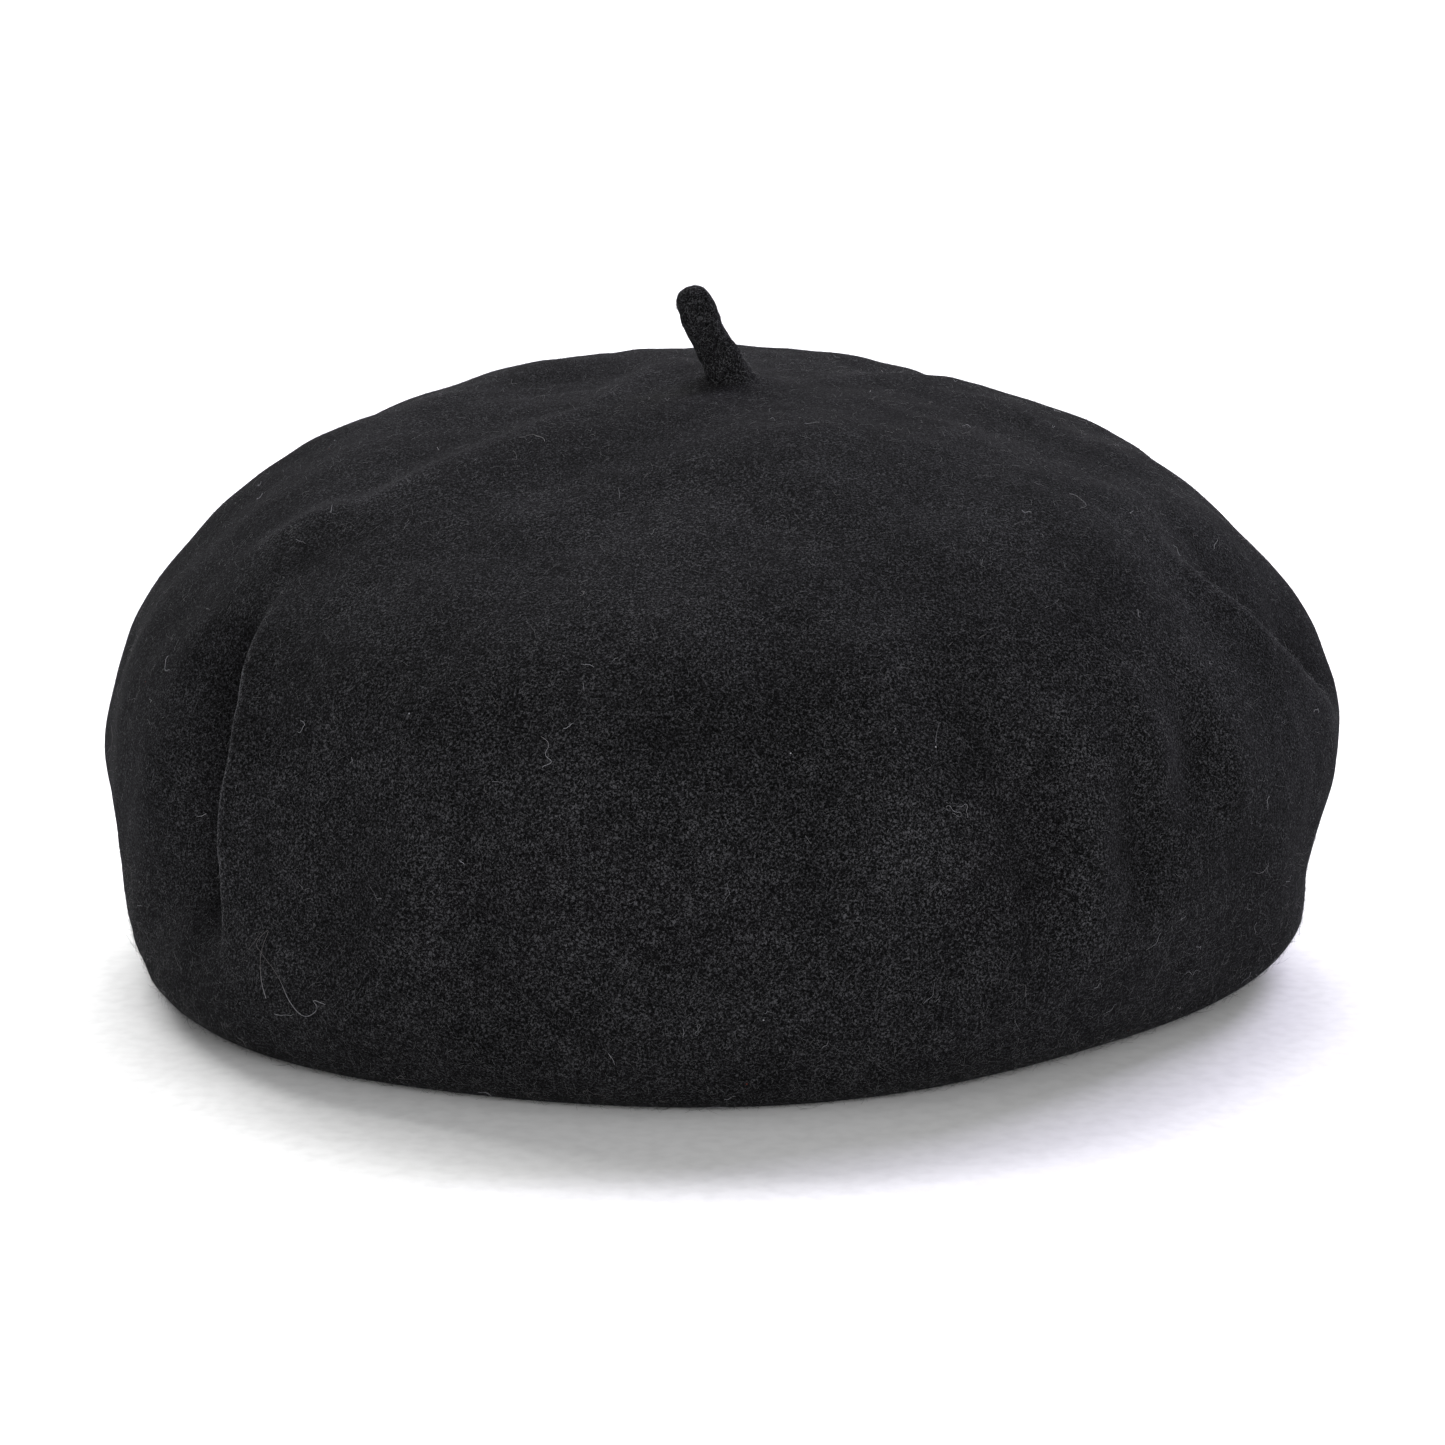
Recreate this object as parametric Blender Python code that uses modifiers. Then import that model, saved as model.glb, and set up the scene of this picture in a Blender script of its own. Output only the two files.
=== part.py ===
"""Beret: a fulled wool crown stuffed out to a dome, with its stalk, lining and sweatband.

The beret stands on its turned-in underside. The origin is on the surface it stands on, at the
middle of the head opening, +Z is up, the front of the hat faces -Y and the sweatband's joint,
under its bow, is at the back (+Y). Lengths are in metres.
"""

import math

import bmesh
import bpy
from mathutils import Vector

# Felt body
OPENING_RADIUS = 0.0875  # felt edge of the head opening
FOOT_RING = 0.0040  # width of the flat ring round the opening that the hat stands on
OVERHANG = 0.0195  # how far the side wall bulges out past that ring
CROWN_HEIGHT = 0.106  # from the surface up to the felt at the stalk
WIDEST_HEIGHT = 0.037  # where the side wall is widest
FELT = 0.003  # thickness of the fulled wool
DOME_FULLNESS = 2.5  # exponent of the dome: 2 is an ellipse, more is squarer in the shoulder
WALL_FULLNESS = 2.3  # the same for the side wall, where it rounds in to the foot

# Stalk
STALK_LENGTH = 0.0195  # from the felt to the tip, along the stalk
STALK_ROOT_RADIUS = 0.0035
STALK_HEAD_RADIUS = 0.0040  # at its thickest, near the tip
STALK_LEAN = math.radians(20)  # towards -X at rest
TACK_RADIUS = 0.0045  # stitched patch under the crown that holds the stalk's root
TACK = 0.0012

# Lining
LINING = 0.0008
LINING_DROP = 0.0020  # how far the lining hangs off the felt
LINING_TIP_RADIUS = 0.062  # of the round top piece
SEAM_THREAD = 0.0004  # radius of the sewing thread in each seam

# Sweatband
BAND_HEIGHT = 0.028
BAND = 0.0012
BAND_FOOT = 0.0010  # how far the band's lower edge stays above the surface
BAND_JOINT_GAP = 0.0020  # between the butted ends, at the back
BAND_STITCH_HEIGHT = 0.0035  # of the stitched line above the band's lower edge

# Bow over the band's joint
BOW_LOOP_LENGTH = 0.0110
BOW_HEIGHT = 0.0080
BOW_THICKNESS = 0.0022
BOW_KNOT_WIDTH = 0.0045
BOW_KNOT_HEIGHT = 0.0064
BOW_LIFT = 0.0110  # height of the bow's middle above the band's lower edge

# Care label
LABEL_WIDTH = 0.024
LABEL_DROP = 0.019
LABEL = 0.0006
LABEL_TOP_INSET = 0.0015  # how far below the band's top edge the label is sewn

GAP = 0.0003  # between pieces that touch
ROUND_STEPS = 48  # facets round every turned piece of the hat
STALK_STEPS = 24
THREAD_SIDES = 6
DOME_SEGMENTS = 12
WALL_SEGMENTS = 7
LINING_SEGMENTS = 6  # of the tip, and of the side piece above its widest place
MERGE = 0.0001
SMOOTH_ANGLE = math.radians(35)

FOOT_RADIUS = OPENING_RADIUS + FOOT_RING
CROWN_RADIUS = FOOT_RADIUS + OVERHANG
BAND_OUTER_RADIUS = OPENING_RADIUS - GAP
BAND_INNER_RADIUS = BAND_OUTER_RADIUS - BAND
FACET_SLACK = 1 - math.cos(math.pi / ROUND_STEPS)  # share of a radius lost at mid-facet
BAND_CLEAR_RADIUS = BAND_INNER_RADIUS * (1 - FACET_SLACK) - GAP
STITCH_CLEAR_RADIUS = BAND_CLEAR_RADIUS - 2 * SEAM_THREAD  # just inside the stitched line
STALK_PIVOT = Vector((0, 0, CROWN_HEIGHT + STALK_ROOT_RADIUS + GAP))

FELT_BLACK = (0.012, 0.013, 0.015)
SATIN_BLACK = (0.018, 0.018, 0.022)
LEATHER_BLACK = (0.020, 0.018, 0.017)
THREAD_BLACK = (0.016, 0.016, 0.018)
RIBBON_BLACK = (0.014, 0.014, 0.017)
LABEL_WHITE = (0.62, 0.60, 0.56)


def clear_scene():
    """Remove every object that is in the file."""
    for obj in list(bpy.data.objects):
        bpy.data.objects.remove(obj, do_unlink=True)


def new_collection(name):
    """A collection of this name, linked to the scene."""
    collection = bpy.data.collections.new(name)
    bpy.context.scene.collection.children.link(collection)
    return collection


def new_material(name, colour, roughness):
    """A Principled material of one base colour, with no metal in it."""
    material = bpy.data.materials.new(name)
    material.use_nodes = True
    shader = material.node_tree.nodes["Principled BSDF"]
    shader.inputs["Base Color"].default_value = (*colour, 1)
    shader.inputs["Roughness"].default_value = roughness
    shader.inputs["Metallic"].default_value = 0
    material.diffuse_color = (*colour, 1)
    return material


def add_object(name, data, material, collection):
    """An object of this mesh or curve in the collection, with its material."""
    obj = bpy.data.objects.new(name, data)
    if material:
        data.materials.append(material)
    collection.objects.link(obj)
    return obj


def shade(mesh):
    """Smooth shading with sharp edges past the smooth angle."""
    mesh.shade_smooth()
    mesh.set_sharp_from_angle(angle=SMOOTH_ANGLE)


def mesh_from(bm, name):
    """The mesh of a finished bmesh."""
    mesh = bpy.data.meshes.new(name)
    bm.to_mesh(mesh)
    bm.free()
    shade(mesh)
    return mesh


def add_turned(name, profile, material, collection, closed=False, steps=ROUND_STEPS):
    """A profile of (radius, height) points turned round Z. A closed profile makes a solid ring."""
    bm = bmesh.new()
    corners = [bm.verts.new((radius, 0, height)) for radius, height in profile]
    for first, second in zip(corners, corners[1:]):
        bm.edges.new((first, second))
    if closed:
        bm.edges.new((corners[-1], corners[0]))
    obj = add_object(name, mesh_from(bm, name), material, collection)
    screw = obj.modifiers.new("Turn", "SCREW")
    screw.angle = 2 * math.pi
    screw.steps = steps
    screw.render_steps = steps
    screw.use_merge_vertices = True
    screw.merge_threshold = MERGE
    screw.use_smooth_shade = True
    return obj


def thicken(obj, thickness):
    """Give an open surface its thickness, inwards from its outer side."""
    solidify = obj.modifiers.new("Thickness", "SOLIDIFY")
    solidify.thickness = thickness
    solidify.offset = -1
    solidify.use_even_offset = True


def fuller(share, fullness):
    """A sine or cosine reshaped from an ellipse's to that of a squarer curve, with its sign kept."""
    return math.copysign(abs(share) ** (2 / fullness), share)


def outline_point(u):
    """(radius, height) on the felt's outer side: u runs 0 to 1 down the dome, 1 to 2 down the wall."""
    if u <= 1:
        angle = u * math.pi / 2
        rise = fuller(math.cos(angle), DOME_FULLNESS)
        height = WIDEST_HEIGHT + (CROWN_HEIGHT - WIDEST_HEIGHT) * rise
        return Vector((CROWN_RADIUS * math.sin(angle), height))
    angle = (u - 1) * math.pi / 2
    radius = FOOT_RADIUS + OVERHANG * fuller(math.cos(angle), WALL_FULLNESS)
    return Vector((radius, WIDEST_HEIGHT * (1 - fuller(math.sin(angle), WALL_FULLNESS))))


def dome_share(radius):
    """The outline's u where the dome has this radius."""
    return math.asin(radius / CROWN_RADIUS) * 2 / math.pi


def inset_point(u, depth):
    """The outline's point at u, moved this far into the hat along the felt's normal."""
    step = 1e-4
    along = outline_point(u + step) - outline_point(u - step)
    inward = Vector((along.y, -along.x)).normalized()
    return outline_point(u) + inward * depth


def inset_outline(start, stop, segments, depth):
    """Evenly spaced points of the inset outline from start to stop."""
    return [
        inset_point(start + (stop - start) * i / segments, depth)
        for i in range(segments + 1)
    ]


def add_ring_of_thread(name, radius, height, material, collection):
    """A closed line of sewing thread round Z."""
    section = [
        (
            radius + SEAM_THREAD * math.cos(2 * math.pi * i / THREAD_SIDES),
            height - SEAM_THREAD * math.sin(2 * math.pi * i / THREAD_SIDES),
        )
        for i in range(THREAD_SIDES)
    ]
    return add_turned(name, section, material, collection, closed=True)


def add_pillow(name, size, place, turn, material, collection):
    """A soft rounded block of this size, from a cube cage under Subdivision Surface."""
    bm = bmesh.new()
    bmesh.ops.create_cube(bm, size=1)
    bmesh.ops.subdivide_edges(bm, edges=bm.edges[:], cuts=1, use_grid_fill=True)
    bmesh.ops.scale(bm, vec=size, verts=bm.verts)
    obj = add_object(name, mesh_from(bm, name), material, collection)
    obj.location = place
    obj.rotation_euler = (0, 0, turn)
    subdivide = obj.modifiers.new("Soften", "SUBSURF")
    subdivide.levels = 1
    subdivide.render_levels = 1
    return obj


def build_felt_crown(material, collection):
    """The one-piece felt body: dome, side wall and the flat ring turned in to the head opening."""
    profile = inset_outline(0, 1, DOME_SEGMENTS, 0)
    profile += inset_outline(1, 2, WALL_SEGMENTS, 0)[1:]
    profile.append(Vector((OPENING_RADIUS, 0)))
    crown = add_turned("felt_crown", profile, material, collection)
    thicken(crown, FELT)


def stalk_profile():
    """The club-shaped stalk, tip first, as (radius, height) from its pivot."""
    tip_height = STALK_LENGTH - STALK_PIVOT.z + CROWN_HEIGHT
    head_height = tip_height - STALK_HEAD_RADIUS
    neck_height = STALK_ROOT_RADIUS
    quarter = math.pi / 2
    cap_segments = 4
    body_segments = 4
    cap = [
        (
            STALK_HEAD_RADIUS * math.sin(quarter * i / cap_segments),
            head_height + STALK_HEAD_RADIUS * math.cos(quarter * i / cap_segments),
        )
        for i in range(cap_segments + 1)
    ]
    body = []
    for i in range(1, body_segments + 1):
        share = i / body_segments
        ease = (1 - math.cos(math.pi * share)) / 2
        radius = STALK_HEAD_RADIUS + (STALK_ROOT_RADIUS - STALK_HEAD_RADIUS) * ease
        body.append((radius, head_height + (neck_height - head_height) * share))
    root = [
        (
            STALK_ROOT_RADIUS * math.cos(quarter * i / cap_segments),
            -STALK_ROOT_RADIUS * math.sin(quarter * i / cap_segments),
        )
        for i in range(cap_segments + 1)
    ]
    return cap + body + root


def build_stalk(material, collection):
    """The felt stalk, on the joint that lets it lean over; its round root rolls above the felt."""
    profile = stalk_profile()
    stalk = add_turned("cabillou", profile, material, collection, steps=STALK_STEPS)
    stalk.location = STALK_PIVOT
    stalk.rotation_euler = (0, -STALK_LEAN, 0)


def build_tack(material, collection):
    """The flat knot of thread under the crown that holds the stalk's root."""
    bm = bmesh.new()
    bmesh.ops.create_uvsphere(bm, u_segments=20, v_segments=8, radius=1)
    bmesh.ops.scale(bm, vec=(TACK_RADIUS, TACK_RADIUS, TACK / 2), verts=bm.verts)
    tack = add_object("cabillou_tack", mesh_from(bm, "cabillou_tack"), material, collection)
    fall = CROWN_HEIGHT - outline_point(dome_share(TACK_RADIUS)).y
    tack.location = (0, 0, CROWN_HEIGHT - FELT - fall - GAP - TACK / 2)


def build_lining(satin, thread, collection):
    """The satin tip and side piece, and the thread of the seam between them."""
    depth = FELT + LINING_DROP
    seam = dome_share(LINING_TIP_RADIUS)
    seam_gap = GAP / (CROWN_RADIUS * math.pi / 2)
    tip_profile = inset_outline(0, seam - seam_gap, LINING_SEGMENTS, depth)
    tip = add_turned("lining_tip", tip_profile, satin, collection)
    thicken(tip, LINING)
    side_profile = inset_outline(seam + seam_gap, 1, LINING_SEGMENTS, depth)
    side_profile += inset_outline(1, 2, WALL_SEGMENTS, depth)[1:]
    side_profile.append(Vector((BAND_OUTER_RADIUS + GAP, depth)))
    side = add_turned("lining_side", side_profile, satin, collection)
    thicken(side, LINING)
    thread_place = inset_point(seam, depth + LINING + GAP + SEAM_THREAD)
    add_ring_of_thread("lining_seam_thread", *thread_place, thread, collection)


def build_sweatband(leather, thread, collection, cutters):
    """The leather strip that stands in the opening, open at the back, and its stitched line."""
    top = BAND_FOOT + BAND_HEIGHT
    profile = [(BAND_OUTER_RADIUS, top), (BAND_OUTER_RADIUS, BAND_FOOT)]
    band = add_turned("sweatband", profile, leather, collection)
    thicken(band, BAND)
    joint = bmesh.new()
    bmesh.ops.create_cube(joint, size=1)
    past_band = (BAND_JOINT_GAP, 6 * BAND, 2 * BAND_HEIGHT)
    bmesh.ops.scale(joint, vec=past_band, verts=joint.verts)
    cutter = add_object("band_joint_cutter", mesh_from(joint, "band_joint_cutter"), None, cutters)
    cutter.location = (0, BAND_OUTER_RADIUS - BAND / 2, top - BAND_HEIGHT / 2)
    cutter.hide_render = True
    cutter.display_type = "WIRE"
    cut = band.modifiers.new("Joint", "BOOLEAN")
    cut.operation = "DIFFERENCE"
    cut.object = cutter
    thread_radius = BAND_CLEAR_RADIUS - SEAM_THREAD
    height = BAND_FOOT + BAND_STITCH_HEIGHT
    add_ring_of_thread("sweatband_stitching", thread_radius, height, thread, collection)


def build_bow(ribbon, collection):
    """The flat ribbon bow over the band's joint: two loops and the knot between them."""
    height = BAND_FOOT + BOW_LIFT
    loop_from_middle = BOW_KNOT_WIDTH / 2 + GAP + BOW_LOOP_LENGTH / 2
    loop_turn = math.asin(loop_from_middle / BAND_CLEAR_RADIUS)
    loop_sagitta = BOW_LOOP_LENGTH**2 / (8 * BAND_CLEAR_RADIUS)
    loop_radius = BAND_CLEAR_RADIUS - loop_sagitta - BOW_THICKNESS / 2
    for name, side in (("bow_left_loop", 1), ("bow_right_loop", -1)):
        turn = side * loop_turn
        place = (-loop_radius * math.sin(turn), loop_radius * math.cos(turn), height)
        size = (BOW_LOOP_LENGTH, BOW_THICKNESS, BOW_HEIGHT)
        add_pillow(name, size, place, turn, ribbon, collection)
    knot_size = (BOW_KNOT_WIDTH, BOW_THICKNESS, BOW_KNOT_HEIGHT)
    knot_place = (0, BAND_CLEAR_RADIUS - GAP - BOW_THICKNESS / 2, height)
    add_pillow("bow_knot", knot_size, knot_place, 0, ribbon, collection)


def build_label(material, collection):
    """The blank fabric tab, hanging inside the band at the wearer's left from its sewn top edge."""
    bm = bmesh.new()
    bmesh.ops.create_cube(bm, size=1)
    bmesh.ops.scale(bm, vec=(LABEL, LABEL_WIDTH, LABEL_DROP), verts=bm.verts)
    bmesh.ops.translate(bm, vec=(0, 0, -LABEL_DROP / 2), verts=bm.verts)
    label = add_object("care_label", mesh_from(bm, "care_label"), material, collection)
    clear = math.sqrt(STITCH_CLEAR_RADIUS**2 - (LABEL_WIDTH / 2) ** 2)
    sewn_height = BAND_FOOT + BAND_HEIGHT - LABEL_TOP_INSET
    label.location = (-(clear - GAP - LABEL / 2), 0, sewn_height)


def main():
    """Clear the scene and build the beret."""
    clear_scene()
    beret = new_collection("beret")
    cutters = new_collection("cutters")
    cutters.hide_render = True
    felt = new_material("felt", FELT_BLACK, 0.95)
    thread = new_material("thread", THREAD_BLACK, 0.7)
    satin = new_material("satin", SATIN_BLACK, 0.35)
    build_felt_crown(felt, beret)
    build_stalk(felt, beret)
    build_tack(thread, beret)
    build_lining(satin, thread, beret)
    leather = new_material("leather", LEATHER_BLACK, 0.55)
    build_sweatband(leather, thread, beret, cutters)
    build_bow(new_material("ribbon", RIBBON_BLACK, 0.5), beret)
    build_label(new_material("label_fabric", LABEL_WHITE, 0.8), beret)


main()
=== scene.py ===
"""Looks of a black felt beret: fulled wool crown, stalk, satin lining, leather sweatband and bow.

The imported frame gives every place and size. The hat stands on its turned-in underside, +Z is up
and its front faces -Y. Azimuths are in degrees from the front, positive towards +X.
"""

import logging
import math
from dataclasses import dataclass
from enum import Enum
from functools import cached_property
from typing import Any, Callable, Iterator, Optional, Sequence, Union

import bpy
import numpy as np
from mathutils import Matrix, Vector


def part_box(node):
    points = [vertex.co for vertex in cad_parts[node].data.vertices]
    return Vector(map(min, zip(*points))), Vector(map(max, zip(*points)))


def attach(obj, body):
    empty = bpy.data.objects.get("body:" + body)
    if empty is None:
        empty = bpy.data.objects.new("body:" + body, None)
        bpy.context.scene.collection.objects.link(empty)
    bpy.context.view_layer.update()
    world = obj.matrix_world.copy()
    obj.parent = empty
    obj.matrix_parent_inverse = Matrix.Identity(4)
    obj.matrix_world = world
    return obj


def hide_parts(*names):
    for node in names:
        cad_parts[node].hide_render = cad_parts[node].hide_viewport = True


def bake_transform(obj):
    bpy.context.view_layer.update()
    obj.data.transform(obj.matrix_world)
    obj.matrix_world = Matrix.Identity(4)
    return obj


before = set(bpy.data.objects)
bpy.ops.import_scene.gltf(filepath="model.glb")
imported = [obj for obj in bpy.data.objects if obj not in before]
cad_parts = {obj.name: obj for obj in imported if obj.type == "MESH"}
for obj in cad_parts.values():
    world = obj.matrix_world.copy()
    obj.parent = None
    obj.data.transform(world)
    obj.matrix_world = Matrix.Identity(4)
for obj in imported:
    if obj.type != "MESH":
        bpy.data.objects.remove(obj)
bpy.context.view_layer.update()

log = logging.getLogger("beret")
MM = 0.001
GAP = 0.3 * MM  # that touching pieces of the frame keep
CHART_RADIUS_MM = 111.0  # at which degrees round the hat turn to mm on its charts
WAVE = 0.314  # of a wave texture: its scale at which one band fills a unit, 2 pi / 20
Array = np.ndarray
Pair = tuple[float, float]
Triple = tuple[float, float, float]


class Body(Enum):
    """The frame's bodies."""

    CROWN = "crown"
    STALK = "stalk"
    LABEL = "label"


class Slot(Enum):
    """The record's material slots."""

    WOOL = "wool_felt"
    SATIN = "satin"
    LEATHER = "leather"
    RIBBON = "ribbon"
    THREAD = "thread"
    TAPE = "label_fabric"


class Chart(Enum):
    """The flat map that a crease's line is drawn on."""

    WALL = "wall"  # across: distance round the widest part; up: height above the surface
    DOME = "dome"  # the plan seen from above, +X and +Y


# ---------------------------------------------------------------- node and colour tools


def linear(hex_colour: str) -> tuple[float, float, float, float]:
    """Turn an sRGB hex colour to linear light.

    Args:
        hex_colour: the colour as #rrggbb.

    Returns:
        Linear red, green and blue, and an alpha of 1.
    """
    shares = [int(hex_colour[i : i + 2], 16) / 255 for i in (1, 3, 5)]
    red, green, blue = (
        s / 12.92 if s <= 0.04045 else ((s + 0.055) / 1.055) ** 2.4 for s in shares
    )
    return red, green, blue, 1.0


def feed(node: bpy.types.Node, inputs: dict[Any, Any]) -> None:
    """Set or link a node's inputs.

    Args:
        node: the node.
        inputs: by name or index, each with its value, or the node or output that feeds it.
    """
    for key, source in inputs.items():
        if isinstance(source, bpy.types.Node):
            source = source.outputs[0]
        if isinstance(source, bpy.types.NodeSocket):
            node.id_data.links.new(source, node.inputs[key])
        else:
            node.inputs[key].default_value = source


def add_node(
    tree: bpy.types.NodeTree,
    kind: str,
    inputs: dict[Any, Any],
    stops: Sequence[tuple[float, Any]] = (),
    **settings: Any,
) -> bpy.types.Node:
    """Add one node with its settings, values and links.

    Args:
        tree: the node tree that takes the node.
        kind: the node's type, without the ShaderNode that its name starts with.
        inputs: by name or index, each with its value, or the node or output that feeds it.
        stops: a colour ramp's places from 0 to 1, each with a hex colour or a grey.
        **settings: attributes of the node.

    Returns:
        The new node.
    """
    node = tree.nodes.new("ShaderNode" + kind)
    for name, value in settings.items():
        setattr(node, name, value)
    feed(node, inputs)
    if stops:
        elements = node.color_ramp.elements
        elements.remove(elements[1])
        for i, (place, tone) in enumerate(stops):
            element = elements[0] if i == 0 else elements.new(place)
            element.position = place
            element.color = linear(tone) if isinstance(tone, str) else (tone, tone, tone, 1)
    return node


class Finish:
    """A material: its name, the record's slot for it, and what its shader is fed."""

    name = "finish"
    slot = Slot.WOOL

    def inputs(self, tree: bpy.types.NodeTree) -> dict[str, Any]:
        """Make the finish's nodes.

        Args:
            tree: the material's node tree.

        Returns:
            For each input of the Principled BSDF, its value or the node that feeds it.
        """
        raise NotImplementedError

    def material(self) -> bpy.types.Material:
        """The finish's material, made once."""
        made = bpy.data.materials.get(self.name)
        if made is None:
            made = bpy.data.materials.new(self.name)
            made.use_nodes = True
            feed(made.node_tree.nodes["Principled BSDF"], self.inputs(made.node_tree))
        return made


# ---------------------------------------------------------------- finishes


@dataclass(frozen=True)
class FulledWool(Finish):
    """Merino knitted in one piece, shrunk to felt and brushed: black, matt and finely mottled.

    The eye sees tangled fibre ends as a grain of lighter curls on near-black, a soft grey bloom
    at grazing angles from the raised nap, and now and then a pale or rusty undyed fibre.
    """

    name: str = "fulled_wool_brushed"
    pit: str = "#010101"
    body: str = "#0a0a0b"
    curl: str = "#3b3b3d"
    pale: str = "#86868a"
    rust: str = "#5a2b22"
    bloom: str = "#a9abb3"
    grain_mm: float = 0.36  # felted fibre ends, drawn about twice as coarse as the real ones
    strand_mm: float = 1.0  # loops of fibre that lie on the felt
    mottle_mm: float = 4.0  # tufts that the fulling drew together
    cloud_mm: float = 22.0  # slow change of depth in the dye and the nap
    fleck_mm: float = 7.0  # one undyed speck in each cell of this side, half of them hidden
    hidden: float = 0.55  # share of the specks that the nap hides
    strand_gain: float = 0.012  # how far a strand stands out of the grain
    strand_height: float = 0.25  # and how high, against the grain
    relief: float = 0.16 * MM
    painted_light_gain: float = 7.0  # how many times paler a painted highlight makes the felt; painted shade darkens it by the same power

    def inputs(self, tree: bpy.types.NodeTree) -> dict[str, Any]:
        """Mottled wool: grain, strands, tufts, clouds and specks over a faint sheen, with painted
        highlights and painted shade from the felt's attribute.
        """
        place = add_node(tree, "TexCoord", {}).outputs["Object"]
        grain, curl, mottle, cloud = (
            add_node(
                tree,
                "TexNoise",
                {"Vector": place, "Scale": 1 / (cell * MM), "Detail": detail}
                | {"Roughness": rough, "Distortion": twist},
            )
            for cell, detail, rough, twist in (
                (self.grain_mm, 2.0, 0.6, 0.8),
                (self.strand_mm, 1.0, 0.5, 3.0),
                (self.mottle_mm, 3.0, 0.55, 0.0),
                (self.cloud_mm, 2.0, 0.5, 0.0),
            )
        )
        strand = add_node(tree, "ValToRGB", {"Fac": curl}, [(0.47, 0.0), (0.5, 1.0), (0.53, 0.0)])
        depths = [(0.3, self.pit), (0.5, self.body), (0.7, self.curl)]
        tone = add_node(tree, "ValToRGB", {"Fac": grain}, depths)
        inlaid = {0: self.strand_gain, 6: tone, 7: strand}
        strands = add_node(tree, "Mix", inlaid, data_type="RGBA", blend_type="ADD")
        shade, tufts = (
            add_node(
                tree,
                "MapRange",
                {0: noise, "From Min": 0.3, "From Max": 0.7, "To Min": 1 - by, "To Max": 1 + by},
            )
            for noise, by in ((cloud, 0.18), (mottle, 0.2))
        )
        patches = add_node(tree, "Math", {0: shade, 1: tufts}, operation="MULTIPLY")
        # Painted light: the attribute paints highlights on fold edges and swellings, and shade in
        # valleys, hollows, the left shoulder, the right foot, the right side and the top. The worn
        # factor below is this painted light.
        painted_light = add_node(tree, "Attribute", {}, attribute_name="painted_light").outputs["Fac"]
        worn = add_node(tree, "Math", {0: self.painted_light_gain, 1: painted_light}, operation="POWER")
        depth = add_node(tree, "Math", {0: patches, 1: worn}, operation="MULTIPLY")
        clouded = {0: strands.outputs[2], "Scale": depth}
        dyed = add_node(tree, "VectorMath", clouded, operation="SCALE")
        scale = 1 / (self.fleck_mm * MM)
        cells = add_node(tree, "TexVoronoi", {"Vector": place, "Scale": scale})
        edge = {"From Min": 0.014, "From Max": 0.024, "To Min": 1.0, "To Max": 0.0}
        fleck = add_node(tree, "MapRange", {"Value": cells, **edge})
        chance = add_node(tree, "SeparateColor", {"Color": cells.outputs["Color"]})
        kept = add_node(tree, "Math", {0: chance, 1: self.hidden}, operation="GREATER_THAN")
        shown = add_node(tree, "Math", {0: fleck, 1: kept}, operation="MULTIPLY")
        tones = [(0.0, self.pale), (0.8, self.pale), (0.82, self.rust)]
        undyed = add_node(tree, "ValToRGB", {"Fac": chance.outputs["Green"]}, tones)
        colour = add_node(tree, "Mix", {0: shown, 6: dyed, 7: undyed}, data_type="RGBA")
        heights = {0: strand, 1: self.strand_height, 2: grain}
        height = add_node(tree, "Math", heights, operation="MULTIPLY_ADD")
        raised = {"Height": height, "Strength": 0.75, "Distance": self.relief}
        return {
            "Base Color": colour.outputs[2],
            "Normal": add_node(tree, "Bump", raised),
            "Roughness": 1.0,
            "Specular IOR Level": 0.03,
            "Sheen Weight": 0.01,
            "Sheen Roughness": 0.5,
            "Sheen Tint": linear(self.bloom),
        }


@dataclass(frozen=True)
class Patchy(Finish):
    """An even finish whose tone drifts between two depths from patch to patch."""

    dark: str = "#000000"
    light: str = "#ffffff"
    patch_mm: float = 1.0
    detail: float = 0.0
    darkest: float = 0.35  # of the noise, where the dark tone ends
    lightest: float = 0.6  # and where the light one begins
    roughness: float = 0.5
    gloss: float = 0.5
    sheen: float = 0.0

    def inputs(self, tree: bpy.types.NodeTree) -> dict[str, Any]:
        """One noise through a ramp of two tones."""
        place = add_node(tree, "TexCoord", {}).outputs["Object"]
        scale = 1 / (self.patch_mm * MM)
        spots = {"Vector": place, "Scale": scale, "Detail": self.detail}
        patch = add_node(tree, "TexNoise", spots)
        tones = [(self.darkest, self.dark), (self.lightest, self.light)]
        return {
            "Base Color": add_node(tree, "ValToRGB", {"Fac": patch}, tones),
            "Roughness": self.roughness,
            "Specular IOR Level": self.gloss,
            "Sheen Weight": self.sheen,
        }


@dataclass(frozen=True)
class WoolFibre(Patchy):
    """A single dyed wool fibre standing out of the nap: dark, with a faint gloss along it."""

    name: str = "wool_fibre_dyed"
    dark: str = "#0b0b0c"
    light: str = "#303033"
    patch_mm: float = 1.6  # about one fibre in a patch, so neighbours differ in tone
    detail: float = 1.0
    lightest: float = 0.75
    roughness: float = 0.7
    gloss: float = 0.3
    sheen: float = 0.2


@dataclass(frozen=True)
class UndyedLint(Patchy):
    """Loose undyed or foreign fibre caught in the nap: thin, pale grey or a dim warm grey."""

    name: str = "undyed_lint"
    dark: str = "#4e4a4a"
    light: str = "#8f8f94"
    patch_mm: float = 9.0  # longer than most of the fibres, so that each has one tone
    roughness: float = 0.55
    gloss: float = 0.4


@dataclass(frozen=True)
class SeamlessPaper(Patchy):
    """White seamless studio paper, uncoated: even, matt, very pale, with the faintest tooth."""

    name: str = "studio_paper_uncoated"
    dark: str = "#efefef"
    light: str = "#f7f7f7"
    patch_mm: float = 3.0
    detail: float = 3.0
    darkest: float = 0.3
    roughness: float = 0.9
    gloss: float = 0.1


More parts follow.
